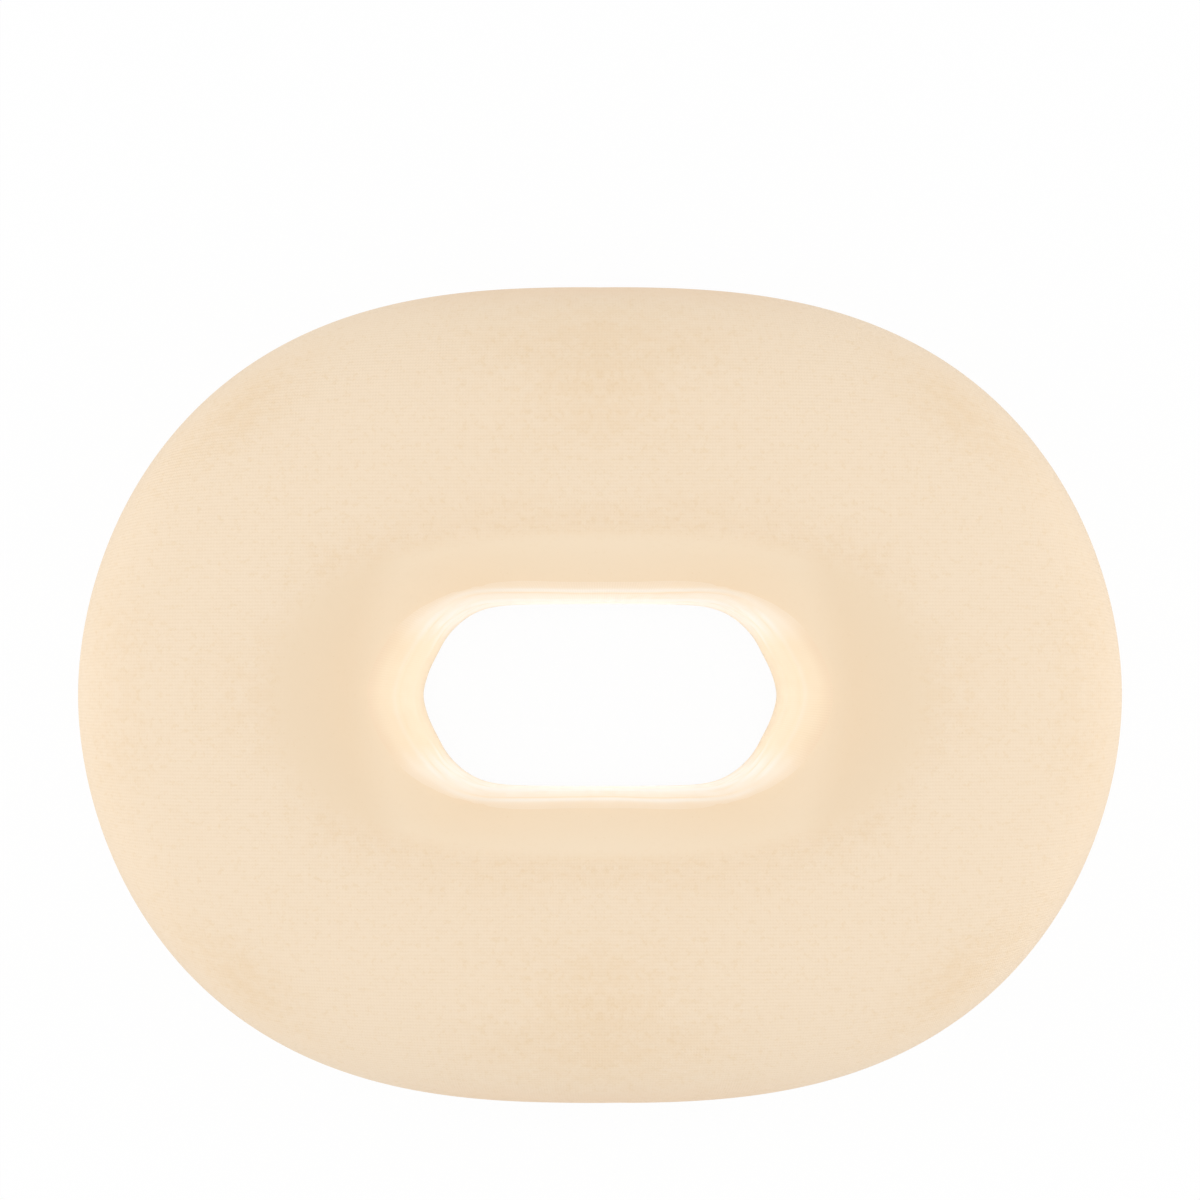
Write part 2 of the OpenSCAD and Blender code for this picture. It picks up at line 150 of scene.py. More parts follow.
class Rays:
    """Cross-sections on evenly turned rays. Each call gives [ray, point, (radius, height)],
    set in from the cover's outer face by d, with q in degrees. corner is the angle folded
    into one quadrant: 0 at the cushion's ends and 90 at its long sides."""

    def __init__(self, count):
        self.count = count
        self.angle = TURN * np.arange(count) / count
        self.turn = self.angle[:, None]
        self.corner = np.degrees(np.arctan2(np.abs(np.sin(self.turn)), np.abs(np.cos(self.turn))))
        self.outer = outline_r(self.angle, (RING_L / 2, RING_W / 2),
                               (RING_END_ROUND, RING_SIDE_ROUND))
        self.hole = outline_r(self.angle, (HOLE_L / 2, HOLE_W / 2),
                              (HOLE_END_ROUND, HOLE_SIDE_ROUND))
        for far, at, width in HOLE_EDGE:
            self.hole = self.hole + far * hump(self.corner, at, width)
        self.crest = (self.outer + self.hole) / 2
        self.seam = (SLEEVE_H + SEAM_LIFT * (1 - 0.95 * hump(self.corner, 35, 14))
                     + SEAM_SIDE_LIFT * eased((self.corner - 60) / 30))
        self.round = (WALL_END_ROUND + (WALL_SIDE_ROUND - WALL_END_ROUND)
                      * np.sin(self.turn) ** 2)

    def pair(self, r, z):
        shape = (self.count, max(np.shape(r)[-1], np.shape(z)[-1]))
        return np.stack([np.broadcast_to(r, shape), np.broadcast_to(z, shape)], -1)

    def side(self, d, q):
        q = np.radians(q)
        return self.pair(self.outer - SIDE_TUCK + (SIDE_TUCK - d) * np.cos(q),
                         WIDE_H + (WIDE_H - BASE_Z - d) * np.sin(q))

    def crown(self, d, q):
        across, up = bent(np.radians(q), CROWN_ROUND)
        return self.pair(self.crest + (self.outer - d - self.crest) * across,
                         WIDE_H + (RING_H - d - WIDE_H) * up)

    def wall(self, d, q):
        across, up = bent(np.radians(q), self.round)
        return self.pair(self.crest - (self.crest - self.hole - d) * across,
                         FOOT_Z + (RING_H - d - FOOT_Z) * up)

    def foot(self, d, q):
        q = np.radians(q)
        return self.pair(self.hole + FOOT_R - (FOOT_R - d) * np.cos(q),
                         FOOT_Z - (FOOT_R - d) * np.sin(q))

    def crown_q(self, d, z):
        return np.degrees(np.arcsin(((z - WIDE_H) / (RING_H - d - WIDE_H)) ** (CROWN_ROUND / 2)))

    def wall_q(self, d, z):
        rise = (z - FOOT_Z) / (RING_H - d - FOOT_Z)
        return np.degrees(np.arcsin(rise ** (self.round / 2)))

    def place(self, section):
        """[ray, point, (radius, height)] as points in the row frame."""
        return np.stack([section[..., 0] * np.cos(self.turn), section[..., 0] * np.sin(self.turn),
                         section[..., 1]], -1)


def span(low, high, steps):
    """Even steps from low to high. low and high are numbers, or a column with one per ray."""
    return low + (high - low) * np.linspace(0, 1, steps + 1)


def join(*stretches):
    """Stretches of a section end to end, each sharing its first point with the last one."""
    return np.concatenate([stretches[0]] + [s[:, 1:] for s in stretches[1:]], 1)


def lengths(points):
    """Distance run along the second axis, from 0."""
    steps = np.linalg.norm(np.diff(points, axis=1), axis=2)
    return np.concatenate([np.zeros((len(points), 1)), np.cumsum(steps, 1)], 1)


def wrapped(grid, rays=1, points=0):
    """A grid with its first rays and points again after its last ones."""
    return np.pad(grid, ((0, rays), (0, points), (0, 0)), "wrap")


def points_at(path, run, at):
    """Points of a path at the given distances, where run is the distance at each of its own."""
    return np.stack([np.interp(at, run, path[:, k]) for k in range(path.shape[1])], -1)


def rows_at(section, place):
    """The section's points at the given distances along it: place is [ray, row]."""
    run = lengths(section)
    return np.stack([points_at(section[i], run[i], place[i]) for i in range(len(section))])


def unit(vectors):
    return vectors / np.linalg.norm(vectors, axis=-1, keepdims=True)


def normals(points):
    """Outward directions of a grid that is closed round the ring."""
    along = np.roll(points, -1, 0) - np.roll(points, 1, 0)
    return unit(np.cross(along, np.gradient(points, axis=1)))


def ripple(angle, waves, seed):
    """A smooth uneven wave round the ring, about 1 high, made of whole wave counts."""
    draw = np.random.default_rng(seed)
    phase = draw.uniform(0, TURN, len(waves))
    size = draw.uniform(0.5, 1, len(waves))
    total = sum(s * np.sin(w * angle + p) for w, p, s in zip(waves, phase, size))
    return total / np.sqrt((size ** 2).sum())


# ---- Meshes ----

def new_object(name, data):
    made = bpy.data.objects.new(name, data)
    scene.collection.objects.link(made)
    return made


def new_piece(mesh, material, node=None, body="cushion"):
    """A piece named like its mesh. It rides on a body and stands for a CAD node, if any."""
    piece = new_object(mesh.name, mesh)
    mesh.materials.append(material)
    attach(piece, body)
    if node:
        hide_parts(node)
    return piece


def raw_mesh(name, points, faces, smooth=True):
    mesh = bpy.data.meshes.new(name)
    mesh.from_pydata((np.asarray(points).reshape(-1, 3) * MM).tolist(), [], faces)
    mesh.update()
    mesh.polygons.foreach_set("use_smooth", [smooth] * len(mesh.polygons))
    return mesh


def sharpened(mesh, degrees):
    """The mesh with a sharp edge wherever its faces meet at more than this."""
    mesh.set_sharp_from_angle(angle=math.radians(degrees))
    return mesh


def add_map(mesh, name, values):
    """A UV map on a grid mesh from values[ray, point], one longer both ways than its quads."""
    corners = np.stack([values[:-1, :-1], values[1:, :-1], values[1:, 1:], values[:-1, 1:]], 2)
    flat = np.zeros((len(mesh.loops), 2), np.float32)
    flat[:corners.size // 2] = corners.reshape(-1, 2)
    mesh.uv_layers.new(name=name).data.foreach_set("uv", flat.ravel())


def grid_mesh(name, points, cloth=None, around=True, section=True):
    """A grid of quads over points[ray, point]. around and section say which way it closes.
    cloth[ray, point], one longer each way that it closes, is its place on the flat cloth."""
    n, m = points.shape[:2]
    i = np.arange(n if around else n - 1)[:, None]
    j = np.arange(m if section else m - 1)[None, :]
    i2, j2 = (i + 1) % n, (j + 1) % m
    faces = np.stack([i * m + j, i2 * m + j, i2 * m + j2, i * m + j2], -1).reshape(-1, 4).tolist()
    if section and not around:
        faces += [list(range(m)), [(n - 1) * m + k for k in reversed(range(m))]]
    mesh = raw_mesh(name, points, faces)
    if cloth is not None:
        add_map(mesh, "cloth", cloth[:len(i) + 1, :j.size + 1] * MM)
    return mesh


def strip_mesh(name, points, around=True):
    """A closed strip. Its map is how far round it and how far along its section a point is."""
    closed = wrapped(points, 1, 1)
    along = lengths(closed.transpose(1, 0, 2)).mean(0)
    across = lengths(closed)
    cloth = np.stack([np.broadcast_to(along[:, None], across.shape), across], -1)
    return grid_mesh(name, points, cloth, around)


def shell(outer, inner):
    """Outer rows and then inner rows back, with two rows close inside each end so that the
    ends stay square when the mesh is subdivided."""
    first = outer[:, :1] + (inner[:, :1] - outer[:, :1]) * np.array([0.88, 0.12])[:, None]
    last = outer[:, -1:] + (inner[:, -1:] - outer[:, -1:]) * np.array([0.12, 0.88])[:, None]
    return np.concatenate([outer, last, inner[:, ::-1], first], 1)


def rings(spine, first, second, radius, sides):
    """A ring of points round each point of spine, beginning at first and turning to second."""
    turn = TURN * np.arange(sides)[:, None] / sides
    ring = first[..., None, :] * np.cos(turn) + second[..., None, :] * np.sin(turn)
    return spine[..., None, :] + ring * np.asarray(radius)[..., None, None]


def tube_faces(points):
    """Outward faces of closed tubes with points[..., ring, point on it]. The rings turn
    right-handed about the way that the tube runs."""
    rows, sides = points.shape[-3:-1]
    faces = []
    ring = range(sides)
    for start in range(0, points.size // 3, rows * sides):
        end = start + (rows - 1) * sides
        for a in range(start, end, sides):
            faces += [[a + j, a + (j + 1) % sides, a + sides + (j + 1) % sides, a + sides + j]
                      for j in ring]
        faces += [[start + j for j in reversed(ring)], [end + j for j in ring]]
    return faces


def mesh_parts(mesh):
    """A mesh's points in millimetres and its faces. The mesh is removed."""
    points = np.array([v.co / MM for v in mesh.vertices])
    faces = [list(p.vertices) for p in mesh.polygons]
    bpy.data.meshes.remove(mesh)
    return points, faces


def joined(name, meshes):
    """Several meshes as one. The meshes are removed."""
    smooth = [p.use_smooth for mesh in meshes for p in mesh.polygons]
    points, faces = [], []
    for part, part_faces in map(mesh_parts, meshes):
        faces += [[len(points) + k for k in face] for face in part_faces]
        points += list(part)
    made = raw_mesh(name, points, faces)
    made.polygons.foreach_set("use_smooth", smooth)
    return made


def subdivide(piece):
    step = piece.modifiers.new("subdivision", "SUBSURF")
    step.levels = step.render_levels = 1


# ---- Materials ----

def linear(color):
    """A colour in 0..255 display values as linear light, with alpha."""
    values = [c / 255 for c in color]
    return [c / 12.92 if c <= 0.04045 else ((c + 0.055) / 1.055) ** 2.4 for c in values] + [1]


def fill(tree, node, values):
    """Sets a node's inputs, or links them where the value is another node's output. Inputs go
    by number, or by name written as a keyword, such as sheen_weight. A colour without alpha
    is in display values."""
    for key, value in values.items():
        if isinstance(key, str):
            key = key.replace("_", " ").title().replace("Ior", "IOR")
        entry = node.inputs[key]
        value = getattr(value, "socket", value)
        if isinstance(value, bpy.types.NodeSocket):
            tree.links.new(value, entry)
        elif entry.type == "RGBA" and len(value) == 3:
            entry.default_value = linear(value)
        else:
            entry.default_value = value


def add_node(tree, kind, inputs, output=0, **settings):
    """Adds a node with its settings and inputs, and gives one of its outputs."""
    node = tree.nodes.new("ShaderNode" + kind)
    for key, value in settings.items():
        setattr(node, key, value)
    fill(tree, node, inputs)
    return node.outputs[output]


def operator(operation, swapped=False):
    def apply(self, other=0.0):
        return self.paint.math(operation, *((other, self) if swapped else (self, other)))
    return apply


class Number:
    """A value in a material's node tree, for writing patterns as formulas."""

    def __init__(self, paint, socket):
        self.paint, self.socket = paint, socket

    __add__ = __radd__ = operator("ADD")
    __sub__, __rsub__ = operator("SUBTRACT"), operator("SUBTRACT", swapped=True)
    __mul__ = __rmul__ = operator("MULTIPLY")
    __truediv__, __pow__, __abs__ = operator("DIVIDE"), operator("POWER"), operator("ABSOLUTE")


class Paint:
    """A material with one Principled shader, and short calls for the nodes that drive it."""

    def __init__(self, name, color, roughness, gloss, **fixed):
        self.material = bpy.data.materials.new(name)
        self.material.use_nodes = True
        self.tree = self.material.node_tree
        self.shader = self.tree.nodes["Principled BSDF"]
        fill(self.tree, self.shader, {"base_color": color, "roughness": roughness,
                                      "specular_ior_level": gloss, **fixed})

    def make(self, kind, inputs, output=0, **settings):
        return Number(self, add_node(self.tree, kind, inputs, output, **settings))

    def math(self, operation, a, b=0.0):
        return self.make("Math", {0: a, 1: b}, operation=operation)

    def wave(self, value):
        """A wave from 0 to 1 that repeats each time value grows by 1."""
        return self.math("SINE", value * TURN) * 0.5 + 0.5

    def split(self, vector):
        node = self.make("SeparateXYZ", {0: vector}).socket.node
        return [Number(self, output) for output in node.outputs]

    def combine(self, x, y, z):
        return self.make("CombineXYZ", {0: x, 1: y, 2: z})

    def place(self):
        """The piece's own coordinates, in metres."""
        return self.make("TexCoord", {}, 3)

    def cloth(self, name="cloth"):
        """The place on the flat cloth in metres, or another of the mesh's own maps."""
        return self.make("UVMap", {}, uv_map=name)

    def noise(self, vector, size, detail=2.0, roughness=0.5):
        """Noise about 0 to 1 with features of the given size in millimetres."""
        return self.make("TexNoise", {"vector": vector, "scale": 1 / (size * MM),
                                      "detail": detail, "roughness": roughness})

    def step(self, value, low, high):
        """0 below low, 1 above high and smooth between."""
        return self.make("MapRange", {"value": value, "from_min": low, "from_max": high},
                         interpolation_type="SMOOTHSTEP")

    def step_mm(self, value, low, high):
        return self.step(value, low * MM, high * MM)

    def mix(self, factor, a, b):
        return self.make("Mix", {0: factor, 6: a, 7: b}, 2, data_type="RGBA")

    def layered(self, tone, *layers):
        """tone under other colours, each given after its share."""
        for share, color in layers:
            tone = self.mix(share, tone, color)
        return tone

    def patch(self, vector, middle, turn, radii):
        """1 at middle, falling smoothly to 0 at the edge of an ellipse; millimetres."""
        local = self.make("Mapping", {"vector": vector, "rotation": (0, 0, math.radians(turn)),
                                      "location": (middle[0] * MM, middle[1] * MM, 0),
                                      "scale": (radii[0] * MM, radii[1] * MM, 1)},
                          vector_type="TEXTURE")
        far = self.make("VectorMath", {0: local}, 1, operation="LENGTH")
        return 1 - self.step(far, 0.0, 1.0)

    def clouded(self, size, low, high, share, color, dark):
        """color, with soft clouds of dark of the given size in millimetres."""
        cloud = self.noise(self.place(), size, 3, 0.6)
        return self.mix(self.step(cloud, low, high) * share, color, dark)

    def finished(self, tone, height, relief, strength=1.0, **more):
        """The material with its colour, and a bump that is relief millimetres high."""
        bump = self.make("Bump", {"strength": strength, "distance": relief * MM, "height": height})
        fill(self.tree, self.shader, {"base_color": tone, "normal": bump, **more})
        return self.material


# Stains on the cover, mirrored about both middle lines: middle, turn, radii and strength.
# A stain below 0 is a cleaner place.
STAINS = [((0, 112), 0, (70, 56), 0.8), ((112, 32), 0, (34, 34), -0.55),
          ((122, 95), -38, (52, 20), 0.8), ((160, 14), 0, (22, 46), 0.5),
          ((44, 54), 0, (30, 15), -0.4)]
WALE, COURSE = 1.0, 1.15        # the knit's stitches: width along the courses, and height
SMOOTH_L, SMOOTH_W, SMOOTH_ROUND = 206, 103, 2.6        # the smooth part round the face hole


def cover_paint():
    """Fine knit with level courses. It lies smooth round the face hole, with painted shade on
    that smooth part at the ends and in a band just outside it. It is faintly mottled, with a
    few slubs and pills, and has painted shade low on its long sides, at its corners and in
    the hollows between its stitches."""
    paint = Paint("cover_knit", (244, 223, 194), 0.88, 0.15, sheen_weight=0.08)
    x, y, z = paint.split(paint.place())
    x, y = abs(x), abs(y)
    fold = paint.combine(x, y, z)
    rim = ((x / (SMOOTH_L / 2 * MM)) ** SMOOTH_ROUND
           + (y / (SMOOTH_W / 2 * MM)) ** SMOOTH_ROUND)
    woven = paint.step(rim, 0.95, 1.35)
    # A band just outside the smooth part, which takes painted shade where the crown turns down into
    # the hole
    near_rim = paint.step(rim, 0.9, 1.15) * (1 - paint.step(rim, 1.1, 2.4))
    along, across, _ = paint.split(paint.cloth())
    broken = paint.noise(fold, 2.2, 2, 0.6)
    wale = paint.wave((along + broken * 0.6 * MM) / (WALE * MM))
    course = paint.math("SINE", (across / (COURSE * MM) + wale * 0.22) * math.pi)
    height = abs(course) * 0.7 + wale * 0.3
    fine = paint.noise(fold, 4, 4, 0.65)
    mottle = paint.noise(fold, 55, 3, 0.6) * 0.4 + fine * 0.6
    stain_and_rim_shade = sum(paint.patch(fold, *place) * strength for *place, strength in STAINS)
    # Painted shade in that band is added to the stains, so both darken the mottling
    stain_and_rim_shade = stain_and_rim_shade * paint.step_mm(z, 48, 68) + near_rim * 0.7
    blotch = paint.step(mottle + stain_and_rim_shade * 0.14, 0.38, 0.78)
    # Painted shade on the smooth part at the ends, where its slope faces inwards
    shaded_end = paint.step_mm(x + y * y * 5.0, 73, 88)
    smooth = paint.mix(shaded_end, (245, 226, 199), (241, 219, 189))
    slub = paint.step(paint.noise(fold, 1.1, 1, 0.5) + stain_and_rim_shade * 0.03, 0.72, 0.82)
    pill = paint.step(paint.noise(fold, 1.9, 3, 0.7) + stain_and_rim_shade * 0.03, 0.52, 0.70)
    # Painted shade low on the cover's side: along the long sides, and at the shoulders by the
    # corners
    skirt = woven * (1 - paint.step_mm(z, 48, 67))
    long_side = 1 - paint.step_mm(x, 35, 95)
    shoulder_shade = paint.patch(fold, (147, 81), -45, (95, 55)) * paint.step_mm(z, 15, 50)
    tone = paint.mix(blotch * (stain_and_rim_shade * 0.6 + 0.22), (245, 225, 199), (240, 214, 180))
    tone = paint.layered(paint.mix((1 - woven) * 0.9, tone, smooth),
                         (slub * 0.25, (226, 197, 150)),
                         (pill * (woven * 0.22 + 0.06), (232, 203, 160)),
                         # painted shade in the hollows between stitches
                         ((1 - height) * woven * (broken * 0.28 + 0.04), (220, 194, 158)),
                         # painted shade low on the long sides and at the corners
                         (skirt * long_side * 0.5, (240, 211, 179)),
                         (skirt * shoulder_shade * 0.35, (229, 208, 182)))
    return paint.finished(tone, height * woven + fine * 0.25, 0.10, 0.7)


def sleeve_paint():
    """Smoother knit with fine ribs that run down the wall, paler than the cover. Painted light from
    below makes it lighter low on the wall and nearly white at the long sides and corners. It
    takes the cover's tone at their seam, has painted shade at its hem and between its ribs,
    and shows its folds with a painted highlight along each fold's edge and painted shade in
    the tuck under it."""
    paint = Paint("sleeve_knit", (252, 238, 214), 0.85, 0.15, sheen_weight=0.08)
    _, y, z = paint.split(paint.place())
    along, across, _ = paint.split(paint.cloth())
    fold, below, _ = paint.split(paint.cloth("folds"))
    rib = paint.wave(along / (0.8 * MM))
    loop = paint.wave(across / (0.6 * MM))
    # Painted light from below, coming up through the hole: the wall is painted lighter low down,
    # and nearly white at the long sides and corners
    painted_glow = paint.step_mm(abs(y), 16, 27.5)
    low = 1 - paint.step_mm(z, 30, 54)
    # Painted shade at the foot of the wall, by its hem
    hem_shade = 1 - paint.step_mm(z, 8, 24)
    rim = 1 - paint.step_mm(below, -1, 6)
    tone = paint.layered(paint.mix(low, (250, 233, 207), (252, 238, 216)),
                         (painted_glow * (low * 0.6 + 0.4), (254, 251, 246)),
                         (rim * (1 - painted_glow * 0.5), (246, 225, 198)),
                         (hem_shade * (painted_glow * 0.25 + 0.15), (246, 228, 203)))
    tone = paint.clouded(14, 0.45, 0.75, 0.25, tone, (247, 226, 195))
    # Painted shade in the hollows between ribs and loops
    tone = paint.layered(tone, ((1 - rib * loop) * 0.05, (220, 190, 150)),
                         # Painted highlight along the folds' edges, and painted shade in the tucks
                         # under them
                         (paint.step(fold, 0.0, 0.8) * 0.9, (255, 253, 250)),
                         (paint.step(fold, 0.0, -0.7) * 0.7, (247, 225, 193)))
    return paint.finished(tone, rib * 0.6 + loop * 0.4, 0.03, 0.6)


def weave_paint(name, color, dark, pitch, relief):
    """Plain weave on level fabric: threads along X and Y pass over each other by turns."""
    paint = Paint(name, color, 0.86, 0.2, sheen_weight=0.06)
    x, y, _ = paint.split(paint.place())
    x, y = x / (2 * pitch * MM), y / (2 * pitch * MM)
    warp = paint.wave(x) * paint.wave(y + 0.25)
    weft = paint.wave(x + 0.5) * paint.wave(y + 0.75)
    height = paint.math("MAXIMUM", warp, weft)
    tone = paint.clouded(18, 0.4, 0.75, 0.5, color, dark)
    # Painted shade in the hollows between the threads
    return paint.finished(paint.mix((1 - height) * 0.25, tone, dark), height, relief)


def tape_paint(name, color, dark, width, rib):
    """Herringbone tape: ribs lean one way and then the other across each width."""
    paint = Paint(name, color, 0.8, 0.25, sheen_weight=0.06)
    along, across, _ = paint.split(paint.cloth())
    zigzag = paint.math("PINGPONG", across, width * MM)
    ribs = paint.wave((along + zigzag * 0.9) / (rib * MM))
    threads = paint.wave(across / (rib * 0.6 * MM))
    tone = paint.clouded(12, 0.4, 0.75, 0.4, color, dark)
    # Painted shade between the ribs
    return paint.finished(paint.mix((1 - ribs) * 0.3, tone, dark), ribs * 0.7 + threads * 0.3, 0.12)


def foam_paint(name, color, dark, cell):
    """Open-cell foam: small round pores and a slow change of tone."""
    paint = Paint(name, color, 0.95, 0.2)
    pores = paint.make("TexVoronoi", {"vector": paint.place(), "scale": 1 / (cell * MM)},
                       feature="SMOOTH_F1")
    tone = paint.clouded(25, 0.35, 0.7, 0.5, color, dark)
    # Painted shade inside the pores
    return paint.finished(paint.mix(paint.step(pores, 0.3, 0.0) * 0.6, tone, dark), pores, 0.4, 0.8)


def stockinette_paint():
    """Thin plain knit: rows of small V stitches."""
    paint = Paint("stockinette", (242, 240, 233), 0.9, 0.2, sheen_weight=0.1)
    along, across, _ = paint.split(paint.cloth())
    lean = paint.math("PINGPONG", along, 0.6 * MM)
    stitch = paint.wave((across + lean * 1.4) / (1.1 * MM))
    wale = paint.wave(along / (1.2 * MM))
    cloud = paint.noise(paint.place(), 20, 3, 0.6)
    tone = paint.mix(cloud * 0.5, (242, 240, 233), (230, 226, 216))
    # Painted shade between the stitches
    tone = paint.mix((1 - stitch) * 0.3, tone, (205, 200, 188))
    return paint.finished(tone, stitch * 0.6 + wale * 0.4, 0.2)


def pile_paint():
    """Short looped pile, a little worn and flattened in places."""
    paint = Paint("loop_pile", (236, 226, 206), 0.95, 0.15, sheen_weight=0.25, sheen_roughness=0.6)
    fluff = paint.noise(paint.place(), 0.9, 3, 0.7)
    tone = paint.clouded(16, 0.4, 0.7, 0.6, (238, 228, 208), (226, 212, 186))
    # Painted shade deep between the loops
    tone = paint.mix(paint.step(fluff, 0.35, 0.7), (208, 192, 164), tone)
    return paint.finished(tone, fluff, 0.25)


def thread_paint():
    """Twisted sewing thread."""
    paint = Paint("sewing_thread", (236, 214, 180), 0.6, 0.35, sheen_weight=0.15,
                  sheen_roughness=0.4)
    x, y, z = paint.split(paint.place())
    twist = paint.wave((x + y * 0.8 + z) / (0.35 * MM))
    # Painted shade in the grooves of the twist
    tone = paint.mix(twist * 0.7, (214, 188, 150), (242, 222, 190))
    return paint.finished(tone, twist, 0.05)


def nylon_paint():
    """Moulded nylon: even, a little glossy and faintly clouded."""
    paint = Paint("zip_nylon", (232, 214, 184), 0.35, 0.5, coat_weight=0.1, coat_roughness=0.3)
    place = paint.place()
    tone = paint.mix(paint.noise(place, 6) * 0.6, (234, 217, 188), (222, 202, 168))
    return paint.finished(tone, paint.noise(place, 0.5), 0.015,
                          roughness=0.3 + paint.noise(place, 0.8) * 0.16)


def metal_paint():
    """Nickel-plated zinc, brushed along X and slightly duller where hands rub it."""
    paint = Paint("zip_metal", (206, 204, 198), 0.3, 0.5, metallic=1.0)
    x, y, z = paint.split(paint.place())
    brushed = paint.noise(paint.combine(x * 0.04, y, z), 0.25, 3, 0.6)
    rubbed = paint.noise(paint.place(), 3.5)
    tone = paint.mix(rubbed * 0.6, (212, 210, 205), (186, 182, 172))
    return paint.finished(tone, brushed, 0.01, roughness=0.2 + brushed * 0.14 + rubbed * 0.14)


COVER = cover_paint()
SLEEVE = sleeve_paint()
BASE = weave_paint("base_fabric", (238, 219, 189), (222, 200, 166), 0.55, 0.14)
BINDING = tape_paint("binding", (230, 208, 175), (204, 179, 142), 1.3, 0.7)
TAPE = tape_paint("zip_tape", (228, 206, 172), (200, 175, 138), 1.9, 0.8)
SUPPORT_FOAM = foam_paint("support_foam", (238, 226, 180), (216, 198, 142), 0.8)
COMFORT_FOAM = foam_paint("comfort_foam", (243, 236, 205), (226, 214, 172), 0.45)
STOCKINETTE = stockinette_paint()
PILE = pile_paint()
THREAD = thread_paint()
NYLON = nylon_paint()
METAL = metal_paint()


# ---- Cover ----

COVER_RAYS, COVER_ROWS = 256, 46
SLACK = 0.8            # how far inside its full size the cover starts, away from its seams
MOST_SWELL = 1.2       # the furthest out that the simulation may move a point
MOST_SINK = 0.2        # the furthest in, since the foam holds the cover out
SIM_FRAMES = 20
# The knit's mass and stiffness, the foam's pressure, and how much larger than the foam it is cut
KNIT = {"quality": 6, "mass": 0.2, "tension_stiffness": 12, "compression_stiffness": 6,
        "shear_stiffness": 4, "bending_stiffness": 0.6, "vertex_group_mass": "seams",
        "use_pressure": True, "uniform_pressure_force": 4.0, "shrink_min": -0.008}


def inflate(points):
    """Cloth, sewn down at both seams and pressed outwards by the foam. Gives its moved points."""
    mesh = grid_mesh("cover_cloth", points, section=False)
    cloth = new_object("cover_cloth", mesh)
    rows = points.shape[1]
    sewn = [k for k in range(len(mesh.vertices)) if k % rows in (0, rows - 1)]
    cloth.vertex_groups.new(name="seams").add(sewn, 1.0, "REPLACE")
    knit = cloth.modifiers.new("cloth", "CLOTH")
    for key, value in KNIT.items():
        setattr(knit.settings, key, value)
    knit.settings.effector_weights.gravity = 0
    knit.collision_settings.use_collision = False
    knit.point_cache.frame_start, knit.point_cache.frame_end = 1, SIM_FRAMES
    for number in range(1, SIM_FRAMES + 1):
        scene.frame_set(number)
    shaped = cloth.evaluated_get(bpy.context.evaluated_depsgraph_get())
    moved = np.zeros(len(mesh.vertices) * 3)
    shaped.data.vertices.foreach_get("co", moved)
    bpy.data.objects.remove(cloth)
    bpy.data.meshes.remove(mesh)
    scene.frame_set(1)
    return moved.reshape(points.shape) / MM


def cover_section(rays, d):
    """The cover's face from its base seam over the crest to just past its seam with the
    sleeve, and its part up to the crest."""
    crest = join(rays.side(d, span(-90, 0, 50)), rays.crown(d, span(0, 90, 90)))
    return join(crest, rays.wall(d, span(90, rays.wall_q(d, rays.seam - SEAM_LAP), 60))), crest


def tucked(past):
    """How far a cloth sinks where it runs past its seam, under the other cloth."""
    return 0.06 * np.clip(past + 0.1, 0, SEAM_LAP)


def cover_rows(rays, d, even, edges):
    """Rows of the cover: even ones, with closer ones at the given distances from both seams.
    Gives their points, their distance out from the middle on the flat cloth, and their share
    of the section's length."""
    section, crest = cover_section(rays, d)
    total = lengths(section)[:, -1:]
    edges = np.array(edges) * np.ones_like(total)
    middle = span(edges[:, -1:], total - edges[:, -1:], even - 1)
    place = np.concatenate([edges[:, :-1], middle, total - edges[:, -2::-1]], 1)
    flat = rays.crest + lengths(crest)[:, -1:] - place
    return rays.place(rows_at(section, place)), flat, place / total


def slack_at(share):
    """How far inside its full size the cover starts: 0 at both seams, SLACK over the middle."""
    return SLACK * np.clip(np.minimum(share, 1 - share) / 0.08, 0, 1) ** 0.5


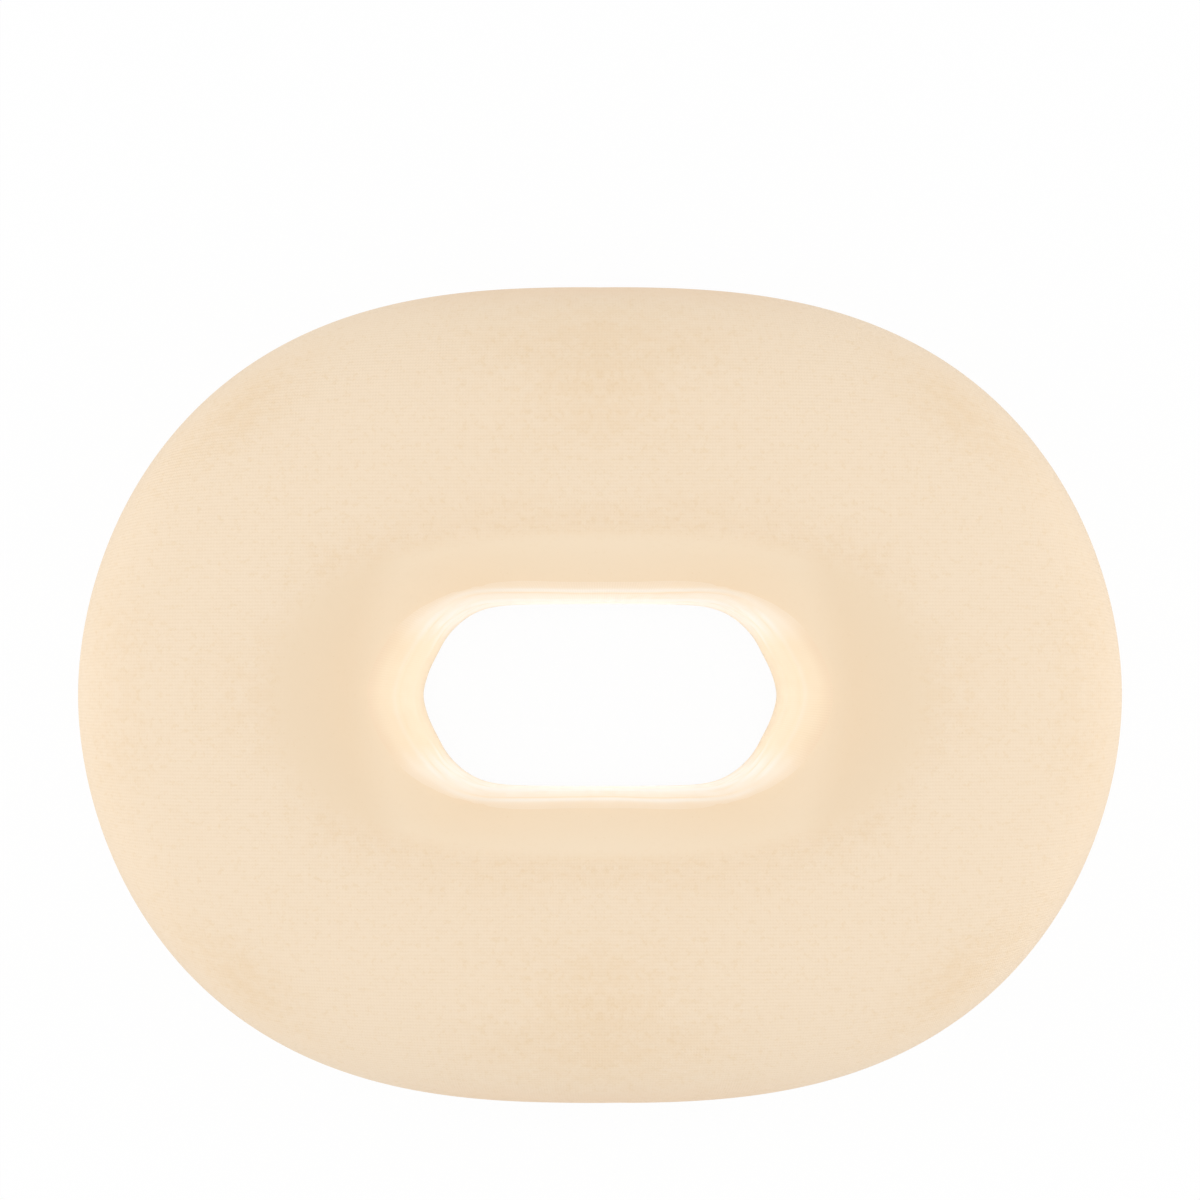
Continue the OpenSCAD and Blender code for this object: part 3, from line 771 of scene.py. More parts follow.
def make_cover():
    rays = Rays(COVER_RAYS)
    full, _, old = cover_rows(rays, 0, COVER_ROWS - 10, [0.0])
    out = normals(full)
    swell = slack_at(old)
    loose = full - out * swell[..., None]
    moved = ((inflate(loose) - loose) * out).sum(2)
    swell = np.where(moved > 0, MOST_SWELL * np.tanh(moved / MOST_SWELL),
                     MOST_SINK * np.tanh(moved / MOST_SINK))
    outer, flat, share = cover_rows(rays, 0, COVER_ROWS, [0.0, 0.15, 0.6, 1.3, 2.2])
    out = normals(outer)
    swell = np.stack([np.interp(*rows) for rows in zip(share, old, swell)])

    # How far each point lies past the seam with the sleeve; outside the crest, far short of it
    inside = np.hypot(outer[..., 0], outer[..., 1]) < rays.crest
    past = np.where(inside, rays.seam - outer[..., 2], -99)
    settled = (swell - slack_at(share)) * eased((-past - SEAM_LAP) / 6)
    outer = outer + out * settled[..., None]

    # Gathers and a dip at the base seam, the tuck under the sleeve, and slow waves above
    seam = lengths(outer)
    gather = ripple(rays.turn, range(88, 122, 3), 5) * np.exp(-seam / 6.5) * (1 - np.exp(-seam))
    relief = 0.32 * gather - tucked(past) - 0.5 * hump(seam, 0, 1.2)
    relief = relief + 0.12 * ripple(rays.turn, range(9, 40, 4), 6) * hump(seam, 22, 14)
    outer = outer + out * relief[..., None]
    inner, inner_flat, _ = cover_rows(rays, COVER_T, 12, [0.0])

    # The flat cloth is a level sheet, so that its courses run along X everywhere
    sheet = np.concatenate([flat, np.repeat(flat[:, -1:], 2, 1), inner_flat[:, ::-1],
                            np.repeat(flat[:, :1], 3, 1)], 1)
    cloth = wrapped(rays.place(rays.pair(sheet, [0]))[..., :2])
    mesh = grid_mesh("knit_cover", shell(outer, inner), cloth)
    cover = new_piece(mesh, COVER, "cover_crown")
    subdivide(cover)


make_cover()


# ---- Sleeve of the face hole ----

# Each lip of the sleeve's folds: height at the long sides, how much lower it lies at the
# ends, and its depth at the ends and at the long sides
SLEEVE_LIPS = [(51.3, 2.5, 0.04, 0.4), (42, 0, 0.15, 0), (35, 1.5, 0.04, 0.8), (26, 0, 0.1, 0),
               (18, 0, 0.04, 0.4)]
# Creases that fan out at the four corners: angle, height there, rise per degree, depth
CORNER_CREASES = [(27, 44, 0.4, 0.3), (30, 37, 0.5, 0.45), (36, 30, 0.5, 0.4), (22, 27, 0.4, 0.3)]


def lip(height, edge, above, below):
    """A fold's profile: it swells slowly down to its edge, and tucks in quickly under it."""
    down = np.exp(-np.clip(height - edge, 0, None) / above)
    return np.where(height > edge, down, hump(height, edge, below))


def lip_light(height, edge):
    """Painted light of a fold: 1 for a painted highlight along its edge, and -1 for painted shade
    in the tuck under it.
    """
    return hump(height, edge + 1.2, 2.2) - 1.2 * hump(height, edge - 2.0, 1.3)


def sleeve_section(rays, d, wall_steps, foot_steps):
    """The sleeve's face from just past its seam with the cover down to its base seam."""
    top = rays.wall_q(d, rays.seam + SEAM_LAP)
    return join(rays.wall(d, span(top, 0, wall_steps)), rays.foot(d, span(0, 90, foot_steps)))


def make_sleeve():
    rays = Rays(288)
    section = sleeve_section(rays, 0, 80, 16)
    total = lengths(section)[:, -1:]
    place = np.concatenate([0 * total, 0 * total + 0.15, span(0.7, total, 68)], 1)
    outer = rays.place(rows_at(section, place))
    out = normals(outer)
    height, corner = outer[..., 2], rays.corner
    along_side = np.clip((corner - 12) / 40, 0, 1) ** 1.5
    at_ends = np.clip((90 - corner) / 40, 0, 1) ** 1.5
    sway = 0.35 * ripple(rays.turn, (4, 7, 10), 4)
    # tone sums the folds' painted highlight along each edge and painted shade in each tuck; it goes
    # to the sleeve's material in the folds map
    relief = tone = np.zeros_like(height)
    for edge, drop, end_depth, side_depth in SLEEVE_LIPS:
        depth = end_depth + (side_depth - end_depth) * along_side
        line = edge - drop * at_ends + sway
        relief = relief + depth * lip(height, line, 3.0, 1.2)
        tone = tone + 1.3 * depth * lip_light(height, line)
    for at, middle, rise, depth in CORNER_CREASES:
        line = middle + rise * (corner - at)
        depth = depth * hump(corner, at, 8)
        relief = relief + depth * lip(height, line, 2.2, 1.1)
        tone = tone + depth * lip_light(height, line)
    relief = relief + 0.08 * ripple(rays.turn, range(24, 60, 5), 8) * hump(height, 26, 16)
    below = rays.seam - height
    relief = relief * np.clip((height - 7) / 5, 0, 1) * np.clip(below / 3, 0, 1)
    relief = relief - 0.04 * along_side * hump(below, 1, 1.5) - tucked(-below)
    outer = outer + out * relief[..., None]
    section = sleeve_section(rays, COVER_T, 40, 12)
    inner = rays.place(rows_at(section, span(0 * total, lengths(section)[:, -1:], 9)))
    whole = shell(outer, inner)
    mesh = strip_mesh("hole_lining", whole)
    folds = np.zeros(whole.shape[:2] + (2,))
    folds[:, :tone.shape[1]] = np.stack([tone, below * MM], -1)
    add_map(mesh, "folds", wrapped(folds, 1, 1))
    subdivide(new_piece(mesh, SLEEVE, "hole_sleeve"))


make_sleeve()


# ---- Foam and liner, inside the cover ----

def make_foam():
    """The support ring with the zip's well cut up into it, and the comfort ring on top."""
    rays = Rays(144)
    crown_glue, wall_glue = rays.crown_q(FOAM_IN, GLUE_H), rays.wall_q(FOAM_IN, GLUE_H)
    across = np.array([WELL_W, TAPE_W + 0.4, LEDGE_IN])
    up = np.array([BASE_Z + FOAM_IN, TAPE_H + TAPE_T / 2 + 0.4, TAPE_H + PLATE_OUT + 0.8])
    well = rays.pair(ZIP_R + np.append(-across, across[::-1]), np.append(up, up[::-1]))
    outside = join(rays.side(FOAM_IN, span(-90, 0, 12)),
                   rays.crown(FOAM_IN, span(0, crown_glue, 6)))
    inside = join(rays.wall(FOAM_IN, span(wall_glue, 0, 12)), rays.foot(FOAM_IN, span(0, 90, 6)))
    upper = join(rays.crown(FOAM_IN, span(crown_glue, 90, 20)),
                 rays.wall(FOAM_IN, span(90, wall_glue, 20)))
    for layer, section, paint in (
            ("support", np.concatenate([outside, inside, well], 1), SUPPORT_FOAM),
            ("comfort", upper, COMFORT_FOAM)):
        mesh = sharpened(grid_mesh(layer + "_foam_ring", rays.place(section)), 35)
        ring = new_piece(mesh, paint, "foam_" + layer + "_layer")


def liner_face(rays, d):
    """The liner's face at depth d, from outside the zip over the foam to inside the zip."""
    q = rays.wall_q(d, SLEEVE_H)
    over = join(rays.side(d, span(-90, 0, 14)), rays.crown(d, span(0, 90, 26)),
                rays.wall(d, span(90, q, 14)), rays.wall(d, span(q, 0, 14)),
                rays.foot(d, span(0, 90, 6)))
    outside, inside = [rays.pair([ZIP_R + far], [BASE_Z + d]) for far in (WELL_W, -WELL_W)]
    return np.concatenate([outside, over, inside], 1)


def make_liner():
    rays = Rays(144)
    outer, inner = [rays.place(liner_face(rays, d)) for d in (LINER_OUT, LINER_IN)]
    mesh = strip_mesh("stockinette_liner", np.concatenate([outer, inner[:, ::-1]], 1))
    new_piece(sharpened(mesh, 40), STOCKINETTE, "foam_liner")


make_foam()
make_liner()


# ---- Base panels and bindings ----

def make_base_panel(name, node, side):
    """From the folded edge beside the zip, over the ledge, down to the level base and out to
    the seam. side is 1 outside the zip and -1 inside it."""
    rays = Rays(256)
    edge = rays.outer - SIDE_TUCK - LAYER_GAP if side > 0 else rays.hole + FOOT_R + LAYER_GAP
    reach = np.array([LEDGE_IN + 0.15, LEDGE_IN + 0.5, 7, 9, TAPE_W - 0.8, TAPE_W + 0.3,
                      12.4, 13.8, 15.1, WELL_W - 0.5, WELL_W + 0.6])
    drop = np.array([0, 0, 0, 0, 0, 0.05, 0.24, 0.55, 0.82, 0.97, 1.0])
    level = LEDGE_Z + (BASE_Z - LEDGE_Z) * drop
    share = np.linspace(0, 1, 14)[1:]
    start = ZIP_R + side * reach[-1]
    near = np.broadcast_to(ZIP_R + side * reach, (rays.count, len(reach)))
    radius = np.concatenate([near, start + (edge - start) * share], 1)

    # The flat part lies in slow waves
    wave = 0.12 * (1 + ripple(rays.turn * np.ones_like(radius), range(7, 37, 5), 11))
    inwards = np.clip((radius - edge) / (start - edge), 0, 1)
    lift = np.clip(wave, 0, 0.2) * np.sin(inwards * math.pi) ** 2
    low = np.append(level, np.full(len(share), BASE_Z)) + lift
    fold = rays.pair([ZIP_R + side * LEDGE_IN], [LEDGE_Z + COVER_T / 2])
    section = np.concatenate([fold, rays.pair(radius, low),
                              rays.pair(radius, low + COVER_T - 0.1 - lift)[:, ::-1]], 1)
    mesh = grid_mesh(name, rays.place(section if side > 0 else section[:, ::-1]))
    new_piece(sharpened(mesh, 60), BASE, node)


make_base_panel("base_panel_outside_zip", "base_outer_panel", 1)
make_base_panel("base_panel_inside_zip", "base_inner_panel", -1)


def make_binding(name, node, rays, face, back):
    """A band between its face and its back, both given as (radius, height)."""
    section = np.concatenate([rays.pair(*face), rays.pair(*back)[:, ::-1]], 1)
    mesh = strip_mesh(name, rays.place(section))
    subdivide(new_piece(mesh, BINDING, node))


def make_bindings():
    """Flat bands over the two base seams, with a hollow for stitches along both edges."""
    rays = Rays(256)
    half = BINDING_W / 2
    across = np.array([-4, -3.7, -3.2, -2.6, -2.0, -1.2, 0, 1.2, 2.0, 2.6, 3.2, 3.7, 4])
    sunk = 0.16 * (hump(across, -2.6, 0.5) + hump(across, 2.6, 0.5))
    edge = 0.3 * (np.abs(across) > 3.8) + 0.08 * (np.abs(across) > 3.5)
    level = BINDING_Z + BINDING_RISE * (np.clip(across, 0, half) / half) ** 2
    radius = rays.outer - SIDE_TUCK + across + 0.1 * ripple(rays.turn, range(30, 80, 7), 13)
    make_binding("outer_binding", "outer_seam_binding", rays, (radius, level + sunk + edge),
                 (radius, level + BINDING_T - edge * 0.6))

    # The hole's binding curls up round the foot of the wall
    curl = np.radians(np.linspace(45, 90, 7))
    down = FOOT_R + LAYER_GAP + BINDING_T
    flat = np.linspace(0, half, 6)[1:]
    radius = np.append(FOOT_R - down * np.cos(curl), FOOT_R + flat)
    level = np.append(FOOT_Z - down * np.sin(curl), np.full(len(flat), BINDING_Z))
    inwards = np.append(np.cos(curl), 0 * flat), np.append(np.sin(curl), 0 * flat + 1)
    away = np.linspace(-4, 4, len(radius))
    sunk = 0.14 * (hump(away, -2.4, 0.7) + hump(away, 2.6, 0.7))
    edge = 0.25 * (np.abs(away) > 3.8)
    face, back = [(rays.hole + radius + inwards[0] * depth, level + inwards[1] * depth)
                  for depth in (sunk + edge, BINDING_T - edge * 0.6)]
    make_binding("hole_binding", "hole_seam_binding", rays, face, back)


make_bindings()


# ---- Circular zip ----

TAPE_START, TAPE_STOP = 0.3, ZIP_LENGTH - 0.3
CHAIN_START, CHAIN_STOP = 12.0, ZIP_LENGTH - 6.2
FLANGE_X = COIL_W + 0.4
TAIL_W, SHOULDER_W = FLANGE_X + 0.5, FLANGE_X + 1.0
TUNNEL_H, BRIDGE_T, BRIDGE_L = 1.2, 0.8, SLIDER_L - 3.8


def zip_point(s, across, up):
    """Points at s along the zip from its join, across it outwards and up from its tape."""
    angle = math.pi / 2 + s / ZIP_R
    radius = ZIP_R + across
    return np.stack(np.broadcast_arrays(radius * np.cos(angle), radius * np.sin(angle),
                                        TAPE_H + up), -1)


def make_tape(name, node, side):
    """Woven tape with a corded edge beside the coil, and a thin band that backs the coil."""
    s = np.linspace(TAPE_START, TAPE_STOP, 420)[:, None]
    across = side * np.array([3.1, 3.6, 4.1, 4.6, 7.5, 10.6, TAPE_W])
    thick = np.array([0.3, 0.3, 0.3, 0.2, 0.2, 0.2, 0.12])
    wave = 0.03 * np.sin(s / 5.3)
    back = zip_point(s, side * np.array([3.2, 1.7, 0.3, 0.3, 1.7, 3.05, 3.05]),
                     np.array([1.26, 1.26, 1.26, 1.14, 1.14, 1.14, 0.2]))
    section = np.concatenate([zip_point(s, side * COIL_W, wave - 0.2),
                              zip_point(s, across, wave - thick),
                              zip_point(s, across, wave + thick)[:, ::-1], back], 1)
    mesh = strip_mesh(name, section if side > 0 else section[:, ::-1], around=False)
    new_piece(sharpened(mesh, 50), TAPE, node)


def make_coil(name, node, side):
    """A nylon coil: one filament wound in flattened turns, its heads facing the other coil."""
    pitch, filament, steps = 1.25, 0.3, 11
    turns = math.floor((CHAIN_STOP - CHAIN_START - 1) / pitch)
    phase = np.arange(turns * steps + 1) / steps + (0.5 if side < 0 else 0)
    flat, deep = np.cos(TURN * phase), np.sin(TURN * phase)
    flat = np.sign(flat) * np.abs(flat) ** 0.75
    deep = np.sign(deep) * np.abs(deep) ** 0.85
    path = zip_point(CHAIN_START + 0.3 + phase * pitch, side * (1.68 - 1.1 * flat), 0.76 * deep)
    tangent = unit(np.gradient(path, axis=0))
    first = unit(np.cross(tangent, [0.0, 0.0, 1.0]))
    tube = rings(path, first, np.cross(tangent, first), filament, 6)
    new_piece(raw_mesh(name, tube, tube_faces(tube)), NYLON, node)


for make, part in ((make_tape, "tape"), (make_coil, "coil")):
    make(part + "_outside_zip", "zip_" + part + "_outer", 1)
    make(part + "_inside_zip", "zip_" + part + "_inner", -1)


def plate(outlines, thickness, edge):
    """A flat plate with rounded edges, level in X and Y about z 0, as points and faces in
    millimetres. Inner outlines are holes."""
    curve = bpy.data.curves.new("plate", "CURVE")
    curve.dimensions, curve.fill_mode = "2D", "BOTH"
    curve.extrude = thickness / 2 - edge
    curve.bevel_depth, curve.bevel_resolution = edge, 2
    curve.offset = -edge
    for outline in outlines:
        line = curve.splines.new("POLY")
        line.points.add(len(outline) - 1)
        line.points.foreach_set("co", [v for x, y in outline for v in (x, y, 0, 1)])
        line.use_cyclic_u = True
    holder = bpy.data.objects.new("plate", curve)
    points, faces = mesh_parts(bpy.data.meshes.new_from_object(holder))
    bpy.data.objects.remove(holder)
    bpy.data.curves.remove(curve)
    return points * MM, faces


def arc(x, y, radius, start, stop, steps=8):
    return [(x + radius * math.cos(math.radians(a)), y + radius * math.sin(math.radians(a)))
            for a in np.linspace(start, stop, steps)]


def bar(width, y0, y1):
    return [(-width / 2, y0), (width / 2, y0), (width / 2, y1), (-width / 2, y1)]


def rounded(low, high, radius, steps, first=0):
    """The outline of a box with round corners, beginning with the corner at angle first."""
    outline = []
    for start in range(first, first + 360, 90):
        x = high[0] - radius if math.cos(math.radians(start + 45)) > 0 else low[0] + radius
        y = high[1] - radius if math.sin(math.radians(start + 45)) > 0 else low[1] + radius
        outline += arc(x, y, radius, start, start + 90, steps)
    return outline


def shifted(part, x=0, y=0, z=0):
    points, faces = part
    return points + np.array([x, y, z]), faces


def metal_piece(name, parts, node, body):
    """One piece of several (points, faces) parts, with X outwards and Y along the zip from
    the slider's middle."""
    meshes = []
    cos, sin = math.cos(SLIDER_A), math.sin(SLIDER_A)
    for points, faces in parts:
        x, y, z = points.T
        turned = [(ZIP_R + x) * cos - y * sin, (ZIP_R + x) * sin + y * cos, z + TAPE_H]
        meshes.append(raw_mesh("part", np.stack(turned, -1), faces))
    new_piece(sharpened(joined(name, meshes), 50), METAL, node, body)


def make_slider():
    """Two faces held apart by a thin post, a flange along each side and a bridge below."""
    half, tail_r, shoulder_r = SLIDER_L / 2, 1.3, 1.6
    right = (arc(TAIL_W - tail_r, tail_r - half, tail_r, -90, 0)
             + arc(SHOULDER_W - shoulder_r, half - 2.6, shoulder_r, 0, 55)
             + [(1.5, half), (0.5, half - 0.35)])
    face = plate([right + [(-x, y) for x, y in reversed(right)]], 1.0, 0.22)
    flange = plate([bar(0.5, 1.5 - half, half - 2.6)], 0.8, 0.12)
    post = [(-0.2, half - 3.6), (0.2, half - 3.6), (0.22, half - 0.6), (-0.22, half - 0.6)]
    parts = [shifted(face, z=PLATE_IN + 0.5), shifted(face, z=-PLATE_IN - 0.5),
             plate([post], 2 * PLATE_IN + 0.1, 0.04)]
    parts += [shifted(flange, x, 0, z) for x in (-FLANGE_X - 0.25, FLANGE_X + 0.25)
              for z in (PLATE_IN - 0.38, 0.38 - PLATE_IN)]

    # The bridge is drawn flat and then stood up across the lower face
    top, end, bend = TUNNEL_H + BRIDGE_T, BRIDGE_L / 2, 0.9
    hoop = ([(-0.15, -end)] + arc(top - bend, bend - end, bend, 270, 360, 6)
            + arc(top - bend, end - bend, bend, 0, 90, 6)
            + [(-0.15, end), (-0.15, end - 1), (TUNNEL_H - 0.25, end - 1), (TUNNEL_H, end - 1.25),
               (TUNNEL_H, 1.25 - end), (TUNNEL_H - 0.25, 1 - end), (-0.15, 1 - end)])
    points, faces = plate([hoop], 1.6, 0.18)
    x, y, z = points.T
    parts.append((np.stack([z, y, -PLATE_OUT - x], -1), faces))
    metal_piece("slider_body", parts, "zip_slider", "slider")


def make_pull():
    """Flat pull with a slot for the bridge, a bar to turn on, a hole and three grip ribs."""
    hinge_y = -(BRIDGE_L / 2 - 1 - 0.5 - 0.1)
    hinge_z = -(PLATE_OUT + TUNNEL_H / 2)
    side, end = PULL_W / 2, PULL_W / 2 - PULL_L
    slot_x, slot_y, slot_r, hole_r = 1.1, hinge_y - BRIDGE_L / 2 - 1.2, 0.6, 1.6
    shape = ([(side - 0.3, -0.1), (slot_x + 0.1, -0.1)]
             + arc(slot_x - slot_r, slot_y + slot_r, slot_r, 0, -90, 5)
             + arc(slot_r - slot_x, slot_y + slot_r, slot_r, 270, 180, 5)
             + [(-slot_x - 0.1, -0.1), (0.3 - side, -0.1), (-side, -1.2)]
             + arc(0, end, side, 180, 360, 22) + [(side, -1.2)])
    parts = [plate([shape, arc(0, end, hole_r, 0, 340, 20)], 1.0, 0.2)]
    rib = plate([bar(3.8, -0.3, 0.3)], 0.5, 0.1)
    parts += [shifted(rib, 0, y, z) for y in (-10.4, -11.9, -13.4) for z in (-0.42, 0.42)]
    turn = TURN * np.arange(16) / 16
    ends = [(-3.4, 0.3), (-3.2, 0.5), (3.2, 0.5), (3.4, 0.3)]
    rod = np.array([[(x, r * math.cos(t), r * math.sin(t)) for t in turn] for x, r in ends])
    parts.append((rod.reshape(-1, 3), tube_faces(rod)))
    parts = [shifted(part, 0, hinge_y, hinge_z) for part in parts]
    metal_piece("pull_tab", parts, "zip_pull", "pull")


make_slider()
make_pull()


def zip_block(low, high, thickness, edge, up=0.0, corner=0.5):
    """A block with rounded edges between two corners, each across the zip and along it."""
    points, faces = plate([rounded(low, high, corner, 4, -90)], thickness, edge)
    across, s, z = points.T
    return raw_mesh("block", zip_point(s, across, z + up), faces)


def make_zip_ends():
    """The retainer box with its fixed pin and grip ribs, the loose pin, and two crimped stops."""
    box_at, box_l, box_w, pin_t, half_gap = 1.5, 5.5, 3.4, 1.8, 0.7
    stop_at = ZIP_LENGTH - 6.0
    box = [zip_block((-box_w, box_at), (box_w, box_at + box_l), 3.4, 0.45, 0, 0.9),
           zip_block((-COIL_W, box_at + box_l - 1), (-half_gap, CHAIN_START), pin_t, 0.3)]
    for k in range(3):
        s = box_at + 1.5 + 1.2 * k
        box.append(zip_block((-2.1, s), (2.1, s + 0.5), 0.4, 0.12, -1.72, 0.2))
    pin = [zip_block((half_gap, box_at + 1.8), (COIL_W, CHAIN_START), pin_t, 0.3)]
    stops = [zip_block((x0, stop_at), (x1, stop_at + 1.5), COIL_T + 0.4, 0.35, 0, 0.4)
             for x0, x1 in ((-COIL_W, -half_gap), (half_gap, COIL_W))]
    for name, meshes, paint, slot in (("retainer_box", box, NYLON, "zip_coil"),
                                      ("insertion_pin", pin, NYLON, "zip_coil"),
                                      ("top_stops", stops, METAL, "zip_metal")):
        new_piece(sharpened(joined(name, meshes), 50), paint, "zip_" + name)


make_zip_ends()


# ---- Stitches ----

STITCH_ROWS, STITCH_SIDES, THREAD_R = 7, 6, 0.2
DOWN = np.array([0.0, 0.0, -1.0])


def stitch_row(path, pitch=3.2, length=2.5):
    """Threads at an even pitch along a closed level path, as rings of points. Each bows down
    and goes up into the cloth at its ends."""
    closed = np.concatenate([path, path[:1]])
    run = lengths(closed[None])[0]
    count = round(run[-1] / pitch)
    middle = (np.arange(count) + 0.5) * run[-1] / count
    centres = points_at(closed, run, middle)
    along = unit(points_at(closed, run, middle + 0.2) - centres)[:, None]
    share = np.linspace(-1, 1, STITCH_ROWS)[:, None]
    girth = THREAD_R * np.sqrt(np.clip(1 - share[:, 0] ** 6, 0.08, 1))
    bow = THREAD_R * (0.7 - 1.5 * share ** 4)
    spine = centres[:, None] + along * (share * length / 2) + DOWN * bow
    return rings(spine, np.cross(DOWN, along), DOWN, girth, STITCH_SIDES)


def stitch_piece(name, rows):
    points = np.concatenate(rows)
    new_piece(raw_mesh(name, points, tube_faces(points)), THREAD)


def make_stitches():
    rays = Rays(360)

    def row(radius, height):
        return stitch_row(rays.place(rays.pair(radius, [height]))[:, 0])

    seam, low = rays.outer - SIDE_TUCK, BINDING_Z + 0.16
    stitch_piece("binding_stitches",
                 [row(seam - 2.6, low), row(seam + 2.6, low + BINDING_RISE * 0.42),
                  row(rays.hole + FOOT_R + 2.6, low)])
    stitch_piece("zip_stitches",
                 [row([ZIP_R + side * across], LEDGE_Z) for side in (-1, 1)
                  for across in (LEDGE_IN + 1.4, LEDGE_IN + 3.9)])


make_stitches()


# ---- Loop strips under the cushion ----

PILE_DEPTH = 0.95
LOOP_ROWS, LOOP_SIDES, LOOP_R = 7, 4, 0.1
LOOP_STEP = (1.5, 1.35)         # from loop to loop along X and along Y


def strip_outline(low, high, inset, z):
    """A strip's outline at height z, drawn in by inset."""
    outline = rounded(low[:2] + inset, high[:2] - inset, STRIP_CORNER - inset, 7)
    return np.array([(x, y, z) for x, y in outline])


def pile_loops(middle, half, draw):
    """Small loops at odd angles all over a strip that reaches half out from its middle."""
    xs, ys = [np.arange(1.0 - reach, reach - 0.9, step) for reach, step in zip(half, LOOP_STEP)]
    at = np.array([(x + k % 2 * LOOP_STEP[0] / 2, y) for k, y in enumerate(ys) for x in xs])
    at = at + draw.uniform(-0.3, 0.3, at.shape)
    corner = np.maximum(np.abs(at) - (half - STRIP_CORNER), 0)
    inside = (np.hypot(*corner.T) < STRIP_CORNER - 0.8) & (np.abs(at) < half - 0.75).all(1)
    at = at[inside][:, None]
    each = (len(at), 1, 1)
    heading = draw.uniform(0, TURN, each)
    lean = draw.uniform(-0.5, 0.5, (len(at), 1, 2))
    tall = draw.uniform(0.72, 1.0, each) * (PILE_DEPTH - 0.1)
    wide = draw.uniform(0.45, 0.7, each)
    turn = np.linspace(-0.15, math.pi + 0.15, LOOP_ROWS)[:, None]
    forward = np.concatenate([np.cos(heading), np.sin(heading)], -1)
    flat = middle + at + forward * (np.cos(turn) * wide) + np.sin(turn) * lean * 0.8
    spine = np.concatenate([flat, PILE_DEPTH - np.sin(turn) * tall], -1)
    across = np.concatenate([-np.sin(heading), np.cos(heading), 0 * heading], -1)
    radial = np.concatenate([forward * np.cos(turn), 0 * heading - np.sin(turn)], -1)
    return rings(spine, across, radial, LOOP_R, LOOP_SIDES)


def make_strip(node, seed):
    """A woven band with rounded corners, covered below in small loops. Gives the row of
    stitches inside its edge."""
    low, high = box_mm(node)
    edges = [(0.5, PILE_DEPTH - 0.05), (0.12, PILE_DEPTH + 0.2), (0, PILE_DEPTH + 0.6),
             (0.05, BASE_Z - 0.15), (0.4, BASE_Z)]
    band = np.stack([strip_outline(low, high, inset, z) for inset, z in edges], 1)
    corners = list(range(len(band)))
    loops = pile_loops((low + high)[:2] / 2, (high - low)[:2] / 2, np.random.default_rng(seed))
    meshes = [grid_mesh("band", band, section=False),
              raw_mesh("under", band[:, 0], [corners[::-1]], False),
              raw_mesh("over", band[:, -1], [corners], False),
              raw_mesh("loops", loops, tube_faces(loops))]
    new_piece(joined(node.replace("strip", "pile"), meshes), PILE, node)
    return stitch_row(strip_outline(low, high, 2.0, 0.45), 3.0, 2.4)


stitch_piece("strip_stitches", [make_strip("loop_strip_" + side, seed) for side, seed in
                                (("left", 20), ("right", 21), ("front", 22), ("back", 23))])


# ---- Floor, light and camera ----

FLOOR_WHITE = 0.96      # share of plain white in the seen floor; the rest takes the shadow
WORLD_LIGHT = 0.795
SIDE_LAMP_W, END_LAMP_W, HOLE_LAMP_W = 1.45, 0.75, 0.0135
CAMERA_Z = 1.05
FULL_WIDTH = 0.87       # share of the picture's width that the cushion takes
LOWERED = 0.0792        # how far below the picture's middle it lies, as a share of the width


def ray_kind(tree):
    """1 for rays that show the background: from the camera, off gloss and through glass."""
    path = tree.nodes.new("ShaderNodeLightPath")
    total = path.outputs["Is Camera Ray"]
    for name in ("Is Glossy Ray", "Is Transmission Ray"):
        total = add_node(tree, "Math", {0: total, 1: path.outputs[name]}, operation="MAXIMUM")
    return total


def empty_tree(data):
    data.use_nodes = True
    data.node_tree.nodes.clear()
    return data.node_tree


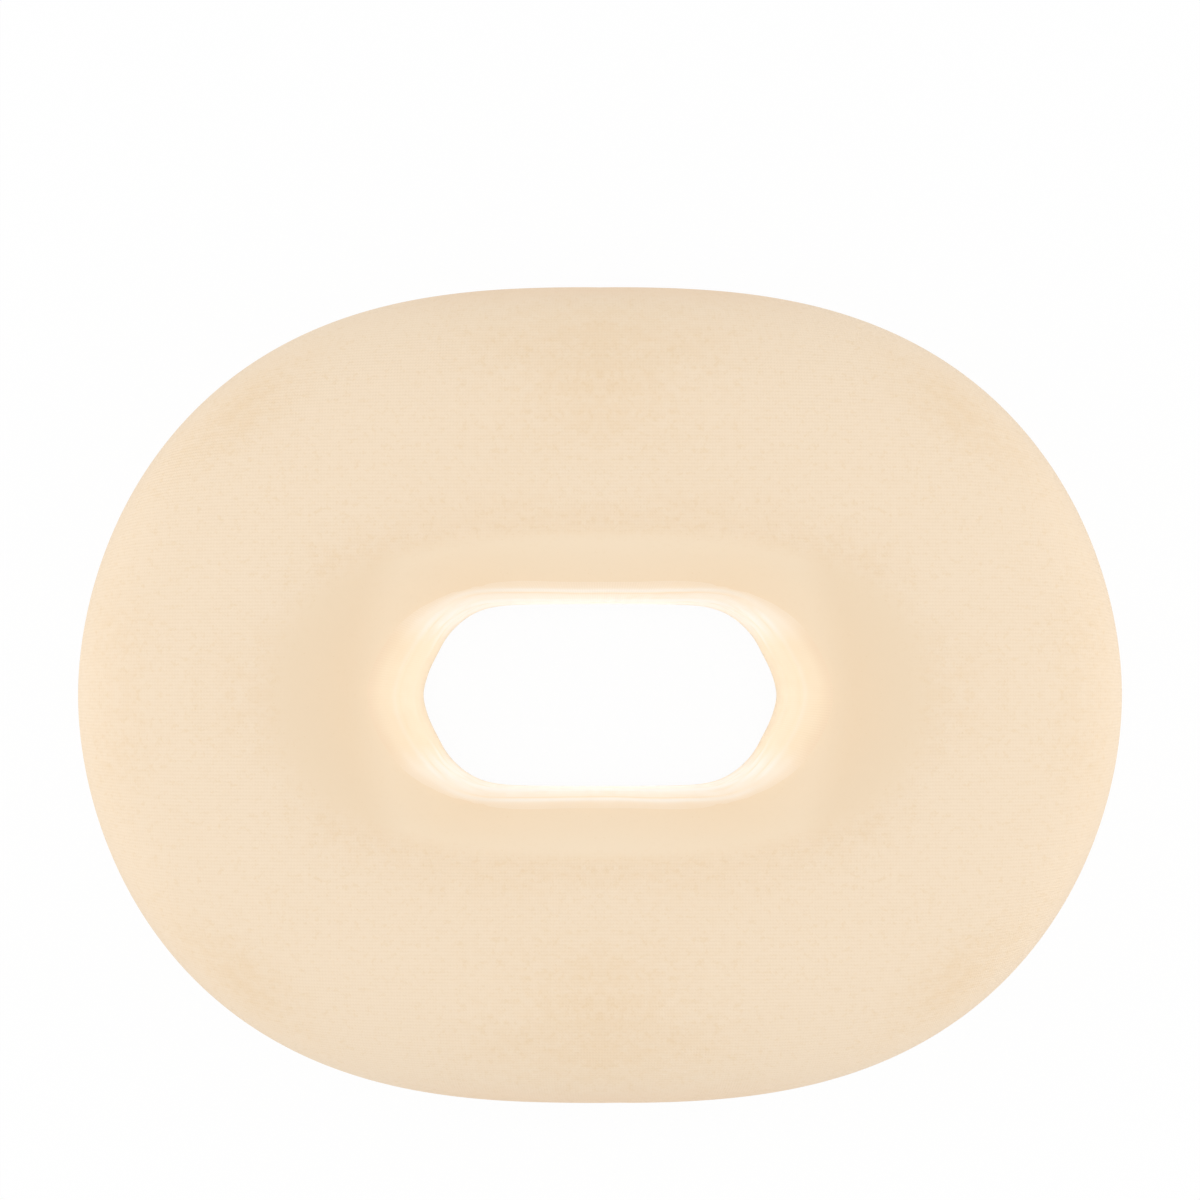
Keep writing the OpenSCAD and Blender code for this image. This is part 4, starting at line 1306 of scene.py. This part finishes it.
def make_floor():
    material = bpy.data.materials.new("studio_floor")
    tree = empty_tree(material)
    matt = add_node(tree, "BsdfDiffuse", {"color": (0.9, 0.9, 0.9, 1)})
    white = add_node(tree, "Emission", {"strength": 1.0})
    share = add_node(tree, "Math", {0: ray_kind(tree), 1: FLOOR_WHITE}, operation="MULTIPLY")
    mixed = add_node(tree, "MixShader", {0: share, 1: matt, 2: white})
    tree.links.new(mixed, tree.nodes.new("ShaderNodeOutputMaterial").inputs[0])
    corners = [(x, y, -0.05) for x, y in bar(8000, -4000, 4000)]
    mesh = raw_mesh("studio_floor", corners, [[0, 1, 2, 3]], False)
    mesh.materials.append(material)
    floor = new_object("studio_floor", mesh)


def make_world():
    scene.world = bpy.data.worlds.new("studio")
    tree = empty_tree(scene.world)
    lit, seen = [add_node(tree, "Background", {"color": (1, 1, 1, 1), "strength": strength})
                 for strength in (WORLD_LIGHT, 1.0)]
    mixed = add_node(tree, "MixShader", {0: ray_kind(tree), 1: lit, 2: seen})
    tree.links.new(mixed, tree.nodes.new("ShaderNodeOutputWorld").inputs[0])


def area_lamp(name, place, aim, size, power):
    light = bpy.data.lights.new(name, "AREA")
    light.shape, light.energy = "RECTANGLE", power
    light.size, light.size_y = size
    lamp = new_object(name, light)
    lamp.location = place
    lamp.rotation_euler = (Vector(aim) - Vector(place)).to_track_quat("-Z", "Y").to_euler()
    lamp.visible_camera = False


def make_lamps():
    """Soft lamps left and right, weaker ones front and back, and light that comes back up
    through the face hole."""
    for side in (-1, 1):
        area_lamp("side_lamp", (side * 0.75, 0, 0.45), (side * 0.1, 0, 0.04), (0.6, 0.5),
                  SIDE_LAMP_W)
        area_lamp("end_lamp", (0, side * 1.0, 0.55), (0, 0, 0.03), (0.9, 0.7), END_LAMP_W)
    area_lamp("hole_glow", (0, 0, 0.003), (0, 0, 1), (0.08, 0.05), HOLE_LAMP_W)


def make_camera():
    """Straight above, with the cushion's long side across the picture."""
    section, _ = cover_section(Rays(4), 0)
    widest = (section[0, :, 0] / (CAMERA_Z / MM - section[0, :, 1])).max()
    camera = bpy.data.cameras.new("camera")
    camera.sensor_width = 36
    camera.lens = camera.sensor_width / 2 * FULL_WIDTH / widest
    camera.shift_y = LOWERED
    camera.clip_start, camera.clip_end = 0.01, 20
    scene.camera = new_object("camera", camera)
    scene.camera.location = (0, 0, CAMERA_Z)


make_floor()
make_world()
make_lamps()
make_camera()

bpy.context.view_layer.update()
